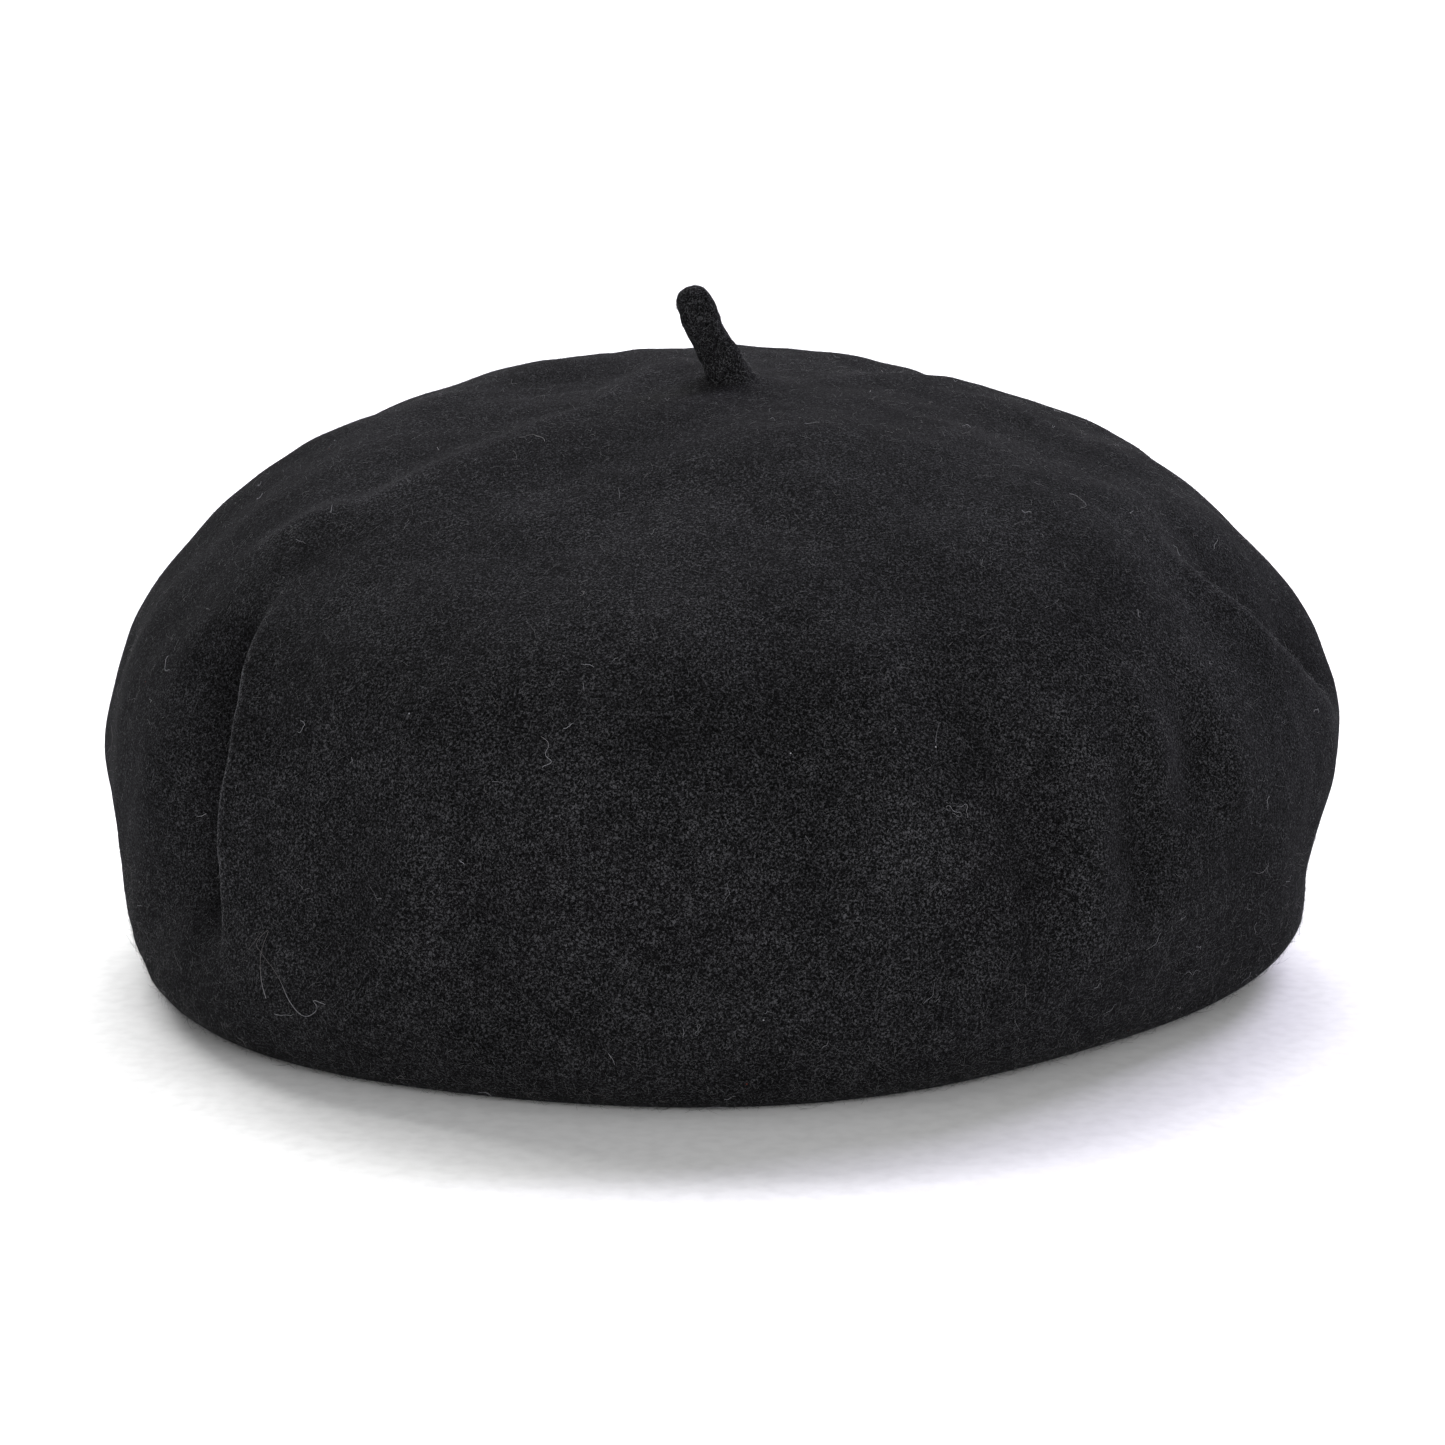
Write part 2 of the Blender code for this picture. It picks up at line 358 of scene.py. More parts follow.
@dataclass(frozen=True)
class Sheepskin(Finish):
    """Chrome-tanned sheepskin, dyed black and lightly glazed: a fine pebble grain with pores."""

    name: str = "sheepskin_glazed"
    slot: Slot = Slot.LEATHER
    valley: str = "#0d0c0c"
    peak: str = "#242120"
    pebble_mm: float = 0.9  # grain cells
    wear_mm: float = 2.4  # slow change of the glaze
    relief: float = 0.12 * MM

    def inputs(self, tree: bpy.types.NodeTree) -> dict[str, Any]:
        """Pebbles from cell edges, under a glaze that is worn here and there."""
        place = add_node(tree, "TexCoord", {}).outputs["Object"]
        slow = {"Vector": place, "Scale": 1 / (self.wear_mm * MM), "Detail": 3.0}
        wear_and_painted_light = add_node(tree, "TexNoise", slow)
        cells = {"Vector": place, "Scale": 1 / (self.pebble_mm * MM), "Randomness": 0.9}
        pebble = add_node(tree, "TexVoronoi", cells, feature="DISTANCE_TO_EDGE")
        height = add_node(tree, "MapRange", {"Value": pebble, "From Min": 0.0, "From Max": 0.22})
        tones = [(0.0, self.valley), (0.8, self.peak)]
        raised = {"Height": height, "Strength": 0.55, "Distance": self.relief}
        worn = {"Value": wear_and_painted_light, "To Min": 0.42, "To Max": 0.62}
        return {
            "Base Color": add_node(tree, "ValToRGB", {"Fac": height}, tones),
            "Roughness": add_node(tree, "MapRange", worn),
            "Normal": add_node(tree, "Bump", raised),
            "Specular IOR Level": 0.45,
        }


@dataclass(frozen=True)
class Corded(Finish):
    """A surface of even cords, ribs or threads: darker between them and raised along them."""

    groove: str = "#000000"
    top: str = "#ffffff"
    deepest: float = 0.1  # of a cord's height, where the groove's tone ends
    highest: float = 0.9
    pitch_mm: float = 1.0
    wobble: float = 0.4
    detail: float = 2.0
    detail_scale: float = 1.0
    chart: str = "UV"  # a cloth's chart is in mm, and an object's own is in metres
    bands: str = "X"
    strength: float = 0.5
    relief: float = 0.08 * MM
    roughness: float = 0.5
    gloss: float = 0.4
    sheen: float = 0.0

    def inputs(self, tree: bpy.types.NodeTree) -> dict[str, Any]:
        """One wave gives the colour and the relief."""
        pitch = self.pitch_mm * (1.0 if self.chart == "UV" else MM)
        wave = {
            "Vector": add_node(tree, "TexCoord", {}).outputs[self.chart],
            "Scale": WAVE / pitch,
            "Distortion": self.wobble,
            "Detail": self.detail,
            "Detail Scale": self.detail_scale,
        }
        cords = add_node(tree, "TexWave", wave, bands_direction=self.bands).outputs["Fac"]
        tones = [(self.deepest, self.groove), (self.highest, self.top)]
        raised = {"Height": cords, "Strength": self.strength, "Distance": self.relief}
        return {
            "Base Color": add_node(tree, "ValToRGB", {"Fac": cords}, tones),
            "Normal": add_node(tree, "Bump", raised),
            "Roughness": self.roughness,
            "Specular IOR Level": self.gloss,
            "Sheen Weight": self.sheen,
        }


@dataclass(frozen=True)
class LiningSatin(Corded):
    """Woven polyester satin: long floats give it a soft directional gloss and faint lines."""

    name: str = "lining_satin_woven"
    slot: Slot = Slot.SATIN
    groove: str = "#17171b"
    top: str = "#26262c"
    deepest: float = 0.2
    pitch_mm: float = 0.314  # warp threads, drawn about three times as coarse as the real ones
    wobble: float = 0.6
    detail: float = 1.0
    strength: float = 0.3
    relief: float = 0.05 * MM
    gloss: float = 0.5
    sheen: float = 0.15
    crush_mm: float = 14.0

    def inputs(self, tree: bpy.types.NodeTree) -> dict[str, Any]:
        """Fine warp lines under a gloss that slow crushing breaks up."""
        place = add_node(tree, "TexCoord", {}).outputs["UV"]
        slow = {"Vector": place, "Scale": 1 / self.crush_mm, "Detail": 3.0}
        reach = {"From Min": 0.3, "From Max": 0.7, "To Min": 0.28, "To Max": 0.46}
        gloss = add_node(tree, "MapRange", {"Value": add_node(tree, "TexNoise", slow), **reach})
        return super().inputs(tree) | {"Roughness": gloss, "Anisotropic": 0.5}


@dataclass(frozen=True)
class Grosgrain(Corded):
    """Woven ribbon with weft ribs across it: dull, with a corded surface and a little slub."""

    name: str = "grosgrain_woven"
    slot: Slot = Slot.RIBBON
    groove: str = "#0b0b0d"
    top: str = "#222226"
    pitch_mm: float = 0.55
    wobble: float = 0.35
    detail_scale: float = 3.0
    strength: float = 0.8
    relief: float = 0.10 * MM
    roughness: float = 0.6
    gloss: float = 0.3
    sheen: float = 0.2


@dataclass(frozen=True)
class LabelTape(Grosgrain):
    """Woven polyester label tape, uncoated and blank: off-white, with fine ribs."""

    name: str = "label_tape_woven"
    slot: Slot = Slot.TAPE
    groove: str = "#a8a49c"
    top: str = "#d9d5cc"
    pitch_mm: float = 0.4
    roughness: float = 0.7
    relief: float = 0.05 * MM


@dataclass(frozen=True)
class SpunThread(Corded):
    """Spun polyester sewing thread: two plies twisted, a slight gloss on each ply."""

    name: str = "sewing_thread_spun"
    slot: Slot = Slot.THREAD
    groove: str = "#0c0c0e"
    top: str = "#2e2e33"
    pitch_mm: float = 0.8  # of the twist
    chart: str = "Object"
    bands: str = "DIAGONAL"


# ---------------------------------------------------------------- mesh tools


def eased(value: Array, low: float, high: float) -> Array:
    """A smooth step from 0 at low to 1 at high.

    Args:
        value: where to read the step.
        low: where it starts.
        high: where it ends.

    Returns:
        The step at each value.
    """
    share = np.clip((value - low) / (high - low), 0.0, 1.0)
    return share * share * (3 - 2 * share)


def turns(count: int) -> Array:
    """Even turns round a circle, in radians from 0."""
    return np.arange(count) * 2 * math.pi / count


def at(radius: Any, azimuth: Array, height: Any) -> Array:
    """Points at a distance from the axis, an azimuth from the front and a height."""
    x, y = radius * np.sin(azimuth), -radius * np.cos(azimuth)
    return np.stack(np.broadcast_arrays(x, y, height), -1)


def unit(ways: Array) -> Array:
    """The same directions, each one long."""
    return ways / (np.linalg.norm(ways, axis=-1, keepdims=True) + 1e-12)


def tape_grid(rows: int, columns: int) -> tuple[Array, Array]:
    """How far each point of a strip lies along it, 0 to 1, and across it, -1 to 1."""
    t, w = np.meshgrid(np.linspace(0, 1, rows), np.linspace(-1, 1, columns), indexing="ij")
    return t, w


def corners(node: str) -> tuple[Array, Array]:
    """The low and high corners of a node of the frame."""
    low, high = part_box(node)
    return np.array(low), np.array(high)


def new_piece(
    name: str, points: Array, faces: Sequence[Sequence[int]], uv: Optional[Array] = None
) -> bpy.types.Object:
    """Make a smooth-shaded mesh object.

    Args:
        name: the piece's name.
        points: its vertices, in metres.
        faces: its polygons.
        uv: a place on the material for each vertex, in millimetres, if it has one.

    Returns:
        The object, linked to the scene.
    """
    mesh = bpy.data.meshes.new(name)
    mesh.from_pydata(points.tolist(), [], faces)
    mesh.shade_smooth()
    if uv is not None:
        corners = np.empty(len(mesh.loops), np.int32)
        mesh.loops.foreach_get("vertex_index", corners)
        layer = mesh.uv_layers.new(name="thread")
        layer.data.foreach_set("uv", uv[corners].astype(np.float32).ravel())
    piece = bpy.data.objects.new(name, mesh)
    bpy.context.scene.collection.objects.link(piece)
    return piece


def strip_faces(rows: int, columns: int, first: int = 0, wraps: bool = True) -> Array:
    """Quads of a grid whose rows run along the first axis.

    Args:
        rows: number of rows of points.
        columns: points in each row.
        first: index of the grid's first point.
        wraps: whether the last column joins the first.

    Returns:
        The quads, facing the way of (down the rows) x (along a row).
    """
    i, j = np.meshgrid(np.arange(rows - 1), np.arange(columns - (not wraps)), indexing="ij")
    here, below = first + i * columns, first + (i + 1) * columns
    beside = (j + 1) % columns
    return np.stack([here + j, below + j, below + beside, here + beside], -1).reshape(-1, 4)


def fan(centre: int, first: int, columns: int, last: bool = False) -> list[list[int]]:
    """Triangles from a point to a ring.

    Args:
        centre: the point's index.
        first: index of the ring's first point.
        columns: points in the ring.
        last: whether the ring ends a grid, so that the triangles face the other way.

    Returns:
        The triangles.
    """
    here = first + np.arange(columns)
    beside = np.roll(here, -1)
    pair = (beside, here) if last else (here, beside)
    return np.stack([np.full(columns, centre), *pair], -1).tolist()


def thick_sheet(
    name: str,
    middle: Array,
    thickness: float,
    wraps: bool,
    out: Optional[Array] = None,
    uv: Optional[Array] = None,
    centre: bool = False,
) -> bpy.types.Object:
    """Make a closed sheet with rounded edges round a middle surface.

    Args:
        name: the piece's name.
        middle: the middle surface, as (row, column, 3).
        thickness: of the sheet.
        wraps: whether the last column joins the first.
        out: the way that each point's outer face looks, worked out from the rows if not given.
        uv: a place on the cloth for each point, in millimetres, as (row, column, 2).
        centre: whether the first row is a small ring round the sheet's centre, to be closed.

    Returns:
        The piece.
    """
    rows, columns, _ = middle.shape
    down = np.gradient(middle, axis=0)
    if wraps:
        along = np.roll(middle, -1, 1) - np.roll(middle, 1, 1)
    else:
        along = np.gradient(middle, axis=1)
    normal, down = unit(np.cross(down, along)), unit(down)
    flip = out is not None and np.sum(normal * out) < 0
    half = thickness / 2
    outer, inner = middle + normal * half, middle - normal * half
    start = [] if centre else [(middle[0] - down[0] * half)[None]]
    section = np.concatenate([outer, (middle[-1] + down[-1] * half)[None], inner[::-1], *start])
    count = len(section)
    last = (count - 1) * columns
    faces = strip_faces(count, columns, 0, wraps).tolist()
    points = section.reshape(-1, 3)
    if centre:
        faces += fan(len(points), 0, columns) + fan(len(points) + 1, last, columns, True)
        points = np.concatenate([points, outer[:1].mean(1), inner[:1].mean(1)])
    else:
        i = np.arange(columns - (not wraps))
        beside = (i + 1) % columns
        faces += np.stack([last + i, i, beside, last + beside], -1).tolist()
    if not wraps:
        sides = [[r, r + 1, count - r - 3, count - r - 2] for r in range(rows - 1)]
        sides += [[rows - 1, rows, rows + 1], [count - 1, 0, count - 2]]
        for column, step in ((0, -1), (columns - 1, 1)):
            faces += [[k * columns + column for k in side[::step]] for side in sides]
    if flip:
        faces = [face[::-1] for face in faces]
    if uv is not None:
        cloth = np.concatenate([uv, uv[-1:], uv[::-1], *([] if centre else [uv[:1]])])
        uv = np.concatenate([cloth.reshape(-1, 2), *([uv[:1].mean(1)] * 2 if centre else [])])
    return new_piece(name, points, faces, uv)


def tube_piece(
    name: str, paths: Array, radii: Array, sides: int, taper: float = 1.0
) -> bpy.types.Object:
    """Make one mesh of many thin closed tubes.

    Args:
        name: the piece's name.
        paths: the tubes' centre lines, as (tube, point, 3).
        radii: each tube's radius.
        sides: sides of each tube.
        taper: the radius left at each tube's end.

    Returns:
        The piece.
    """
    count, length, _ = paths.shape
    along = unit(np.gradient(paths, axis=1))
    helper = np.where(np.abs(along[..., 2:3]) < 0.9, [[[0.0, 0.0, 1.0]]], [[[1.0, 0.0, 0.0]]])
    across = unit(np.cross(along, helper))[:, :, None]
    up = np.cross(across, along[:, :, None])
    angle = turns(sides)[:, None]
    width = radii[:, None] * np.linspace(1.0, taper, length)[None]
    ring = across * np.cos(angle) + up * np.sin(angle)
    points = paths[:, :, None] + ring * width[:, :, None, None]
    side = strip_faces(length, sides)[:, ::-1]
    starts = (np.arange(count) * length * sides)[:, None, None]
    quads = (side[None] + starts).reshape(-1, 4).tolist()
    cap = np.arange(sides)
    first = (cap[None, :] + starts[:, 0]).tolist()
    last = (cap[None, ::-1] + starts[:, 0] + (length - 1) * sides).tolist()
    return new_piece(name, points.reshape(-1, 3), quads + first + last)


def dress(
    piece: bpy.types.Object, finish: Finish, body: Optional[Body], *nodes: str
) -> bpy.types.Object:
    """Give a piece its material, its body and the frame's nodes that it stands for.

    Args:
        piece: the piece.
        finish: its finish.
        body: the body it rides on, or None to attach it to no body.
        *nodes: the frame's nodes that it replaces.

    Returns:
        The piece.
    """
    piece.data.materials.append(finish.material())
    if body is not None:
        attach(piece, body.value)
    if nodes:
        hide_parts(*nodes)
    log.info("%s: %d faces, %s", piece.name, len(piece.data.polygons), finish.name)
    return piece


def sew(
    name: str,
    place: Callable[[Array, Array], Array],
    count: int,
    dip: float,
    thread: float,
    node: Optional[str] = None,
    share: float = 0.8,
    steps: int = 7,
    sides: int = 8,
) -> None:
    """Make a seam's row of equal stitches.

    Args:
        name: the piece's name.
        place: turns distance along the seam, 0 to 1, and height above the cloth into points.
        count: number of stitches.
        dip: how far a stitch's ends go into the cloth.
        thread: the thread's radius.
        node: the frame's node that it replaces, if it has one.
        share: how much of its room each stitch takes up.
        steps: points along each stitch.
        sides: sides of the thread.
    """
    t = np.linspace(0, 1, steps)
    along = (np.arange(count)[:, None] + 0.5 + (t[None] - 0.5) * share) / count
    above = np.broadcast_to(dip * (np.sin(math.pi * t) ** 0.6 * 1.7 - 1)[None], along.shape)
    paths = place(along.ravel(), above.ravel()).reshape(count, steps, 3)
    row = tube_piece(name, paths, np.full(count, thread), sides)
    dress(row, SpunThread(), Body.CROWN, *([node] if node else []))


# ---------------------------------------------------------------- the felt's form


@dataclass(frozen=True)
class Crease:
    """A fold of the felt along a line: a rounded ridge with a valley on one side of it."""

    chart: Chart
    line: tuple[Pair, ...]  # wall: degrees and mm of height; dome: mm and mm
    ridge_mm: float
    ridge_width_mm: float
    valley_mm: float
    valley_width_mm: float
    valley_side: int  # 1 where it lies to the left of the line's direction, -1 to its right
    fade_mm: float  # length over which the fold dies out at each end
    wear_and_painted_light: float = 0.12  # strength of the painted highlight on its edge and the painted shade in its valley, up to 1

    def reading(self, place: Array) -> tuple[Array, Array]:
        """Where points lie beside the line.

        Args:
            place: points on the crease's chart, in mm.

        Returns:
            Distances across the line, positive on the valley's side, and how much of the fold
            is left at each point, from 0 to 1.
        """
        line = np.array(self.line, float)
        if self.chart is Chart.WALL:
            line[:, 0] = np.radians(line[:, 0]) * CHART_RADIUS_MM
        lengths = np.linalg.norm(np.diff(line, axis=0), axis=1)
        nearest, across, along = np.outer([np.inf, 0.0, 0.0], np.ones(len(place)))
        before = 0.0
        for i, length in enumerate(lengths):
            way = (line[i + 1] - line[i]) / length
            offset = place - line[i]
            run = offset @ way
            low = -np.inf if i == 0 else 0.0
            high = np.inf if i == len(lengths) - 1 else length
            aside = offset - np.clip(run, low, high)[:, None] * way
            distance = np.linalg.norm(aside, axis=1)
            side = np.sign(way[0] * offset[:, 1] - way[1] * offset[:, 0])
            nearer = distance < nearest
            nearest = np.where(nearer, distance, nearest)
            across = np.where(nearer, side * distance, across)
            along = np.where(nearer, before + run, along)
            before += length
        ends = (eased(run, -self.fade_mm, self.fade_mm) for run in (along, before - along))
        return across * self.valley_side, math.prod(ends)

    def lift(self, place: Array) -> Array:
        """How far the fold moves the felt out, in mm, at points on its chart."""
        across, fade = self.reading(place)
        reach = np.logaddexp(0.0, across / self.valley_width_mm * 9) / 9
        valley = self.valley_mm * reach * np.exp(1 - reach)
        tail = np.where(across > 0, 0.5, 1.6) * self.ridge_width_mm
        ridge = self.ridge_mm * np.exp(-np.abs(across / tail) ** 1.5)
        return (ridge - valley) * fade

    def painted_light(self, place: Array) -> Array:
        """Painted light on the nap: up to 1 for a painted highlight on the ridge's edge, below 0
        for painted shade in the valley.
        """
        across, fade = self.reading(place)
        # Painted highlight along the ridge's edge, and painted shade in the valley.
        edge = np.exp(-(((across + 0.3) / (0.34 * self.ridge_width_mm)) ** 2))
        painted_valley_shade = np.exp(-(((across / self.valley_width_mm - 0.9) / 0.75) ** 2))
        return (edge - 0.28 * painted_valley_shade * (across > 0)) * fade * self.wear_and_painted_light


@dataclass(frozen=True)
class Dent:
    """A soft round or oval hollow in the felt, or a swelling where its depth is negative.

    Its nap may carry painted shade or a painted highlight, and a patch of painted shade alone has
    no depth.
    """

    across: float  # degrees on the wall's chart, mm on the dome's
    up_mm: float
    half_width_mm: float
    half_height_mm: float
    depth_mm: float
    chart: Chart = Chart.WALL
    wear_and_painted_light: float = 0.0  # painted light on the nap: -1 is full painted shade, 1 a full painted highlight

    def share(self, place: Array) -> Array:
        """How much of the dent is felt at points on its chart, from 0 to 1."""
        aside = place[:, 0] - self.across
        if self.chart is Chart.WALL:
            round_it = 2 * math.pi * CHART_RADIUS_MM
            aside = place[:, 0] - math.radians(self.across) * CHART_RADIUS_MM
            aside = (aside + round_it / 2) % round_it - round_it / 2
        up = place[:, 1] - self.up_mm
        spread = (aside / self.half_width_mm) ** 2 + (up / self.half_height_mm) ** 2
        return np.exp(-spread)

    def lift(self, place: Array) -> Array:
        """How far the dent moves the felt out, in mm, at points on its chart."""
        return -self.depth_mm * self.share(place)

    def painted_light(self, place: Array) -> Array:
        """Painted light on the nap at points on its chart: painted shade below 0, a painted
        highlight above 0.
        """
        return self.wear_and_painted_light * self.share(place)


CREASES = (  # ridge and its width, valley, its width and its side, fade, and the strength of its painted highlight and painted shade
    # The sharp upright fold at the front left: its ridge faces the front, its valley the side. It
    # carries a strong painted highlight on its edge and painted shade in its valley.
    Crease(
        Chart.WALL,
        ((-47.8, 24), (-48.8, 30), (-49.2, 38), (-48.4, 54), (-49.6, 64), (-52.8, 76)),
        *(1.8, 3.2, 8.0, 6.8, 1, 8.0, 0.9),
    ),
    # The slanting fold on the right shoulder, that runs down to the bulge at the side.
    Crease(
        Chart.WALL,
        ((65.5, 79), (68.5, 72), (72, 65), (76.5, 57.5), (81, 50)),
        *(1.7, 6.0, 4.2, 7.0, 1, 9.0, 0.3),
    ),
    # The low swelling that runs from the stalk to the left shoulder.
    Crease(
        Chart.DOME,
        ((-12, 12), (-24, -14), (-58, -39), (-80, -36)),
        *(1.4, 8.0, 0.4, 9.0, -1, 12.0),
    ),
    # Shallow folds at the back.
    Crease(Chart.WALL, ((-118, 8), (-114, 40), (-108, 70)), 0.9, 5.0, 3.0, 8.0, 1, 12.0),
    Crease(Chart.WALL, ((128, 75), (140, 42), (146, 12)), 1.0, 5.0, 3.6, 8.0, 1, 10.0),
    Crease(Chart.DOME, ((14, 8), (44, 30), (78, 44)), 0.2, 8.0, 1.3, 10.0, 1, 14.0),
)

DENTS = (
    # Soft upright troughs across the front, with a low ridge between two of them. Most troughs
    # carry painted shade and the ridges a painted highlight.
    Dent(7.0, 54.0, 8.0, 27.0, 2.6, wear_and_painted_light=-0.1),
    Dent(-19.5, 42.0, 9.0, 24.0, 2.0, wear_and_painted_light=-0.08),
    Dent(-34.0, 47.0, 12.0, 17.0, 2.0),
    Dent(16.0, 56.0, 7.0, 20.0, -0.9, wear_and_painted_light=0.08),
    Dent(24.0, 68.0, 10.0, 20.0, 1.5),
    Dent(29.5, 38.0, 7.0, 18.0, 2.8, wear_and_painted_light=-0.12),
    Dent(34.5, 40.0, 4.5, 15.0, -1.4, wear_and_painted_light=0.06),
    Dent(40.5, 46.0, 5.0, 18.0, 2.4, wear_and_painted_light=-0.12),
    Dent(50.0, 53.0, 8.0, 11.0, 3.6, wear_and_painted_light=-0.16),
    # Painted shade with no depth: darker on the left shoulder, the right foot, high on the right
    # side and on the top.
    Dent(-98.0, 70.0, 66.0, 30.0, 0.0, wear_and_painted_light=-0.3),
    Dent(80.0, 16.0, 42.0, 20.0, 0.0, wear_and_painted_light=-0.22),
    Dent(95.0, 66.0, 60.0, 26.0, 0.0, wear_and_painted_light=-0.1),
    Dent(28.0, -8.0, 60.0, 50.0, 0.0, Chart.DOME, wear_and_painted_light=-0.16),
    # The right side: drawn in above the foot, full above that and up to the shoulder.
    Dent(88.0, 18.0, 26.0, 12.0, 5.2),
    Dent(90.0, 42.0, 28.0, 15.0, -4.2),
    Dent(60.0, 95.0, 60.0, 14.0, -3.9),
    # The left side: flat at the shoulder and above the foot.
    Dent(-88.0, 72.0, 45.0, 20.0, 2.1),
    Dent(-88.0, 42.0, 40.0, 14.0, -1.0),
    Dent(-85.0, 18.0, 40.0, 12.0, 2.4),
    Dent(-60.0, 95.0, 60.0, 14.0, -0.9),
    # Behind the stalk: full on the left, flat on the right.
    Dent(-26.0, 34.0, 20.0, 20.0, -1.4, Chart.DOME),
    Dent(-13.0, 15.0, 12.0, 15.0, -1.2, Chart.DOME),
    Dent(26.0, 34.0, 22.0, 20.0, 1.3, Chart.DOME),
    # The back.
    Dent(-150.0, 48.0, 14.0, 20.0, 2.0),
    Dent(172.0, 40.0, 16.0, 22.0, 1.6),
    Dent(112.0, 30.0, 9.0, 16.0, 1.8),
)

LONG_LINT = (  # undyed fibres long enough to see, in degrees from the front and mm of height
    (
        (-40.5, 15.0), (-41.0, 18.5), (-41.5, 22.5), (-41.0, 27.0), (-42.5, 23.5), (-41.5, 22.5),
        (-39.0, 19.0), (-38.0, 15.0), (-36.5, 12.5), (-34.5, 15.0), (-35.5, 16.5), (-34.0, 16.0),
    ),
    ((-15.0, 66.5), (-14.0, 65.5), (-14.5, 63.5), (-13.5, 62.5), (-14.5, 61.5)),
)


@dataclass(frozen=True)
class Settling:
    """Where the foot has spread, drawn in or lifted a little as the hat stands."""

    azimuth: float
    half_width: float  # degrees
    out_mm: float
    up_mm: float

    def share(self, azimuth: Array) -> Array:
        """How much of it is felt at each azimuth, given in radians."""
        apart = (np.degrees(azimuth) - self.azimuth + 180) % 360 - 180
        return np.exp(-((apart / self.half_width) ** 2))


SETTLINGS = (
    Settling(-85.0, 30.0, 0.2, 0.0),
    Settling(-45.0, 25.0, 5.3, 0.0),
    Settling(0.0, 25.0, 3.0, 0.0),
    Settling(40.0, 20.0, -4.8, 0.0),
    Settling(82.0, 28.0, 3.9, 3.4),
)


WAVES = ((70, 0.55, 7), (28, 0.22, 12), (9, 0.05, 26))  # unevenness: mm long, mm high, count


@dataclass
class FeltForm:
    """The felt's outer side: a turned outline with this hat's folds, dents and lean in it."""

    radius: float = 0.0
    height: float = 0.0
    opening: float = 0.0
    inset: float = 1.1 * MM  # room for the folds inside the frame's outline
    foot: float = 93.1 * MM
    widest: float = 28.5 * MM
    felt: float = 3.0 * MM
    dome_fullness: float = 2.94
    wall_fullness: float = 2.27
    rise_to_back: float = 0.113  # how much higher the back stands, as a share of its height
    slip_left: float = 2.1 * MM  # how far the crown has slipped to one side of its mouth
    settled_from: float = 6 * MM  # heights between which the foot's settling dies out
    settled_to: float = 34 * MM
    lifted_to: float = 60 * MM  # and the height where its lifting does
    foot_rise: float = 9 * MM  # height over which the folds come in
    wall_between: Pair = (0.45, 0.8)  # shares of the radius where the wall's folds come in
    dome_between: Pair = (0.45, 0.7)  # shares of the height where the dome's folds do
    slips_between: Pair = (15 * MM, 85 * MM)  # radii, above the widest place
    collar: float = 2.2 * MM  # felt drawn up round the stalk
    collar_reach: float = 9.0 * MM
    stalk_aside: float = 0.7 * MM  # how far the stalk stands to one side of the mouth's middle
    samples: int = 4000

    def __post_init__(self) -> None:
        """Take the sizes that the frame gives."""
        _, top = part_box("felt_crown")
        self.radius, self.height = top[0] - self.inset, top[2]
        self.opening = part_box("sweatband")[1][0] + GAP

    @cached_property
    def table(self) -> tuple[Array, Array, Array, Array, Array]:
        """Distance down the outline, radius, height and outward normal, finely spaced."""
        turn = np.linspace(0, math.pi / 2, self.samples)
        dome_rise = np.cos(turn) ** (2 / self.dome_fullness)
        radius = [self.radius * np.sin(turn)]
        height = [self.widest + (self.height - self.widest) * dome_rise]
        turn = turn[1:]
        wall_in = np.cos(turn).clip(0) ** (2 / self.wall_fullness)
        wall_drop = np.sin(turn) ** (2 / self.wall_fullness)
        radius.append(self.foot + (self.radius - self.foot) * wall_in)
        height.append(self.widest * (1 - wall_drop))
        r, z = np.concatenate(radius), np.concatenate(height)
        arc = np.concatenate([[0], np.cumsum(np.hypot(np.diff(r), np.diff(z)))])
        slope_r, slope_z = np.gradient(r, arc), np.gradient(z, arc)
        size = np.hypot(slope_r, slope_z)
        return arc, r, z, -slope_z / size, slope_r / size

    @property
    def length(self) -> float:
        """Length of the outline from the stalk to the foot."""
        return float(self.table[0][-1])

    def meridian(self, arc: Array) -> tuple[Array, Array, Array, Array]:
        """Radius, height and outward normal at these distances down the outline."""
        table = self.table
        r, z, out_r, out_z = (np.interp(arc, table[0], column) for column in table[1:])
        return r, z, out_r, out_z

    def folds(
        self, r: Array, z: Array, azimuth: Array
    ) -> Iterator[tuple[Union[Crease, Dent], Array, Array]]:
        """Each fold, with the places that points have on its chart.

        Args:
            r: radius of the plain turned form at each point.
            z: its height.
            azimuth: from the front, in radians.

        Yields:
            The fold, the places in mm and how much the fold counts there.
        """
        around = (azimuth + math.pi) % (2 * math.pi) - math.pi
        wall = np.stack([around * CHART_RADIUS_MM, z / MM], -1)
        on_wall = eased(r, *(share * self.radius for share in self.wall_between))
        on_dome = eased(z, *(share * self.height for share in self.dome_between))
        dome = at(r, azimuth, z)[:, :2] / MM
        charts = {Chart.WALL: (wall, on_wall), Chart.DOME: (dome, on_dome)}
        for fold in CREASES + DENTS:
            yield fold, *charts[fold.chart]

    def painted_light(self, arc: float, azimuth: Array) -> Array:
        """Painted highlight and shade on the nap round the hat, this far down the outline."""
        r, z, _, _ = self.meridian(np.full_like(azimuth, arc))
        return sum(fold.painted_light(place) * counts for fold, place, counts in self.folds(r, z, azimuth))

    def lift(self, r: Array, z: Array, azimuth: Array) -> Array:
        """How far the folds move the plain turned form out along its normal, in metres."""
        folds = self.folds(r, z, azimuth)
        moved = sum(fold.lift(place) * counts for fold, place, counts in folds)
        return (moved + self.wander(r, z, azimuth)) * MM * eased(z, 0.0, self.foot_rise)

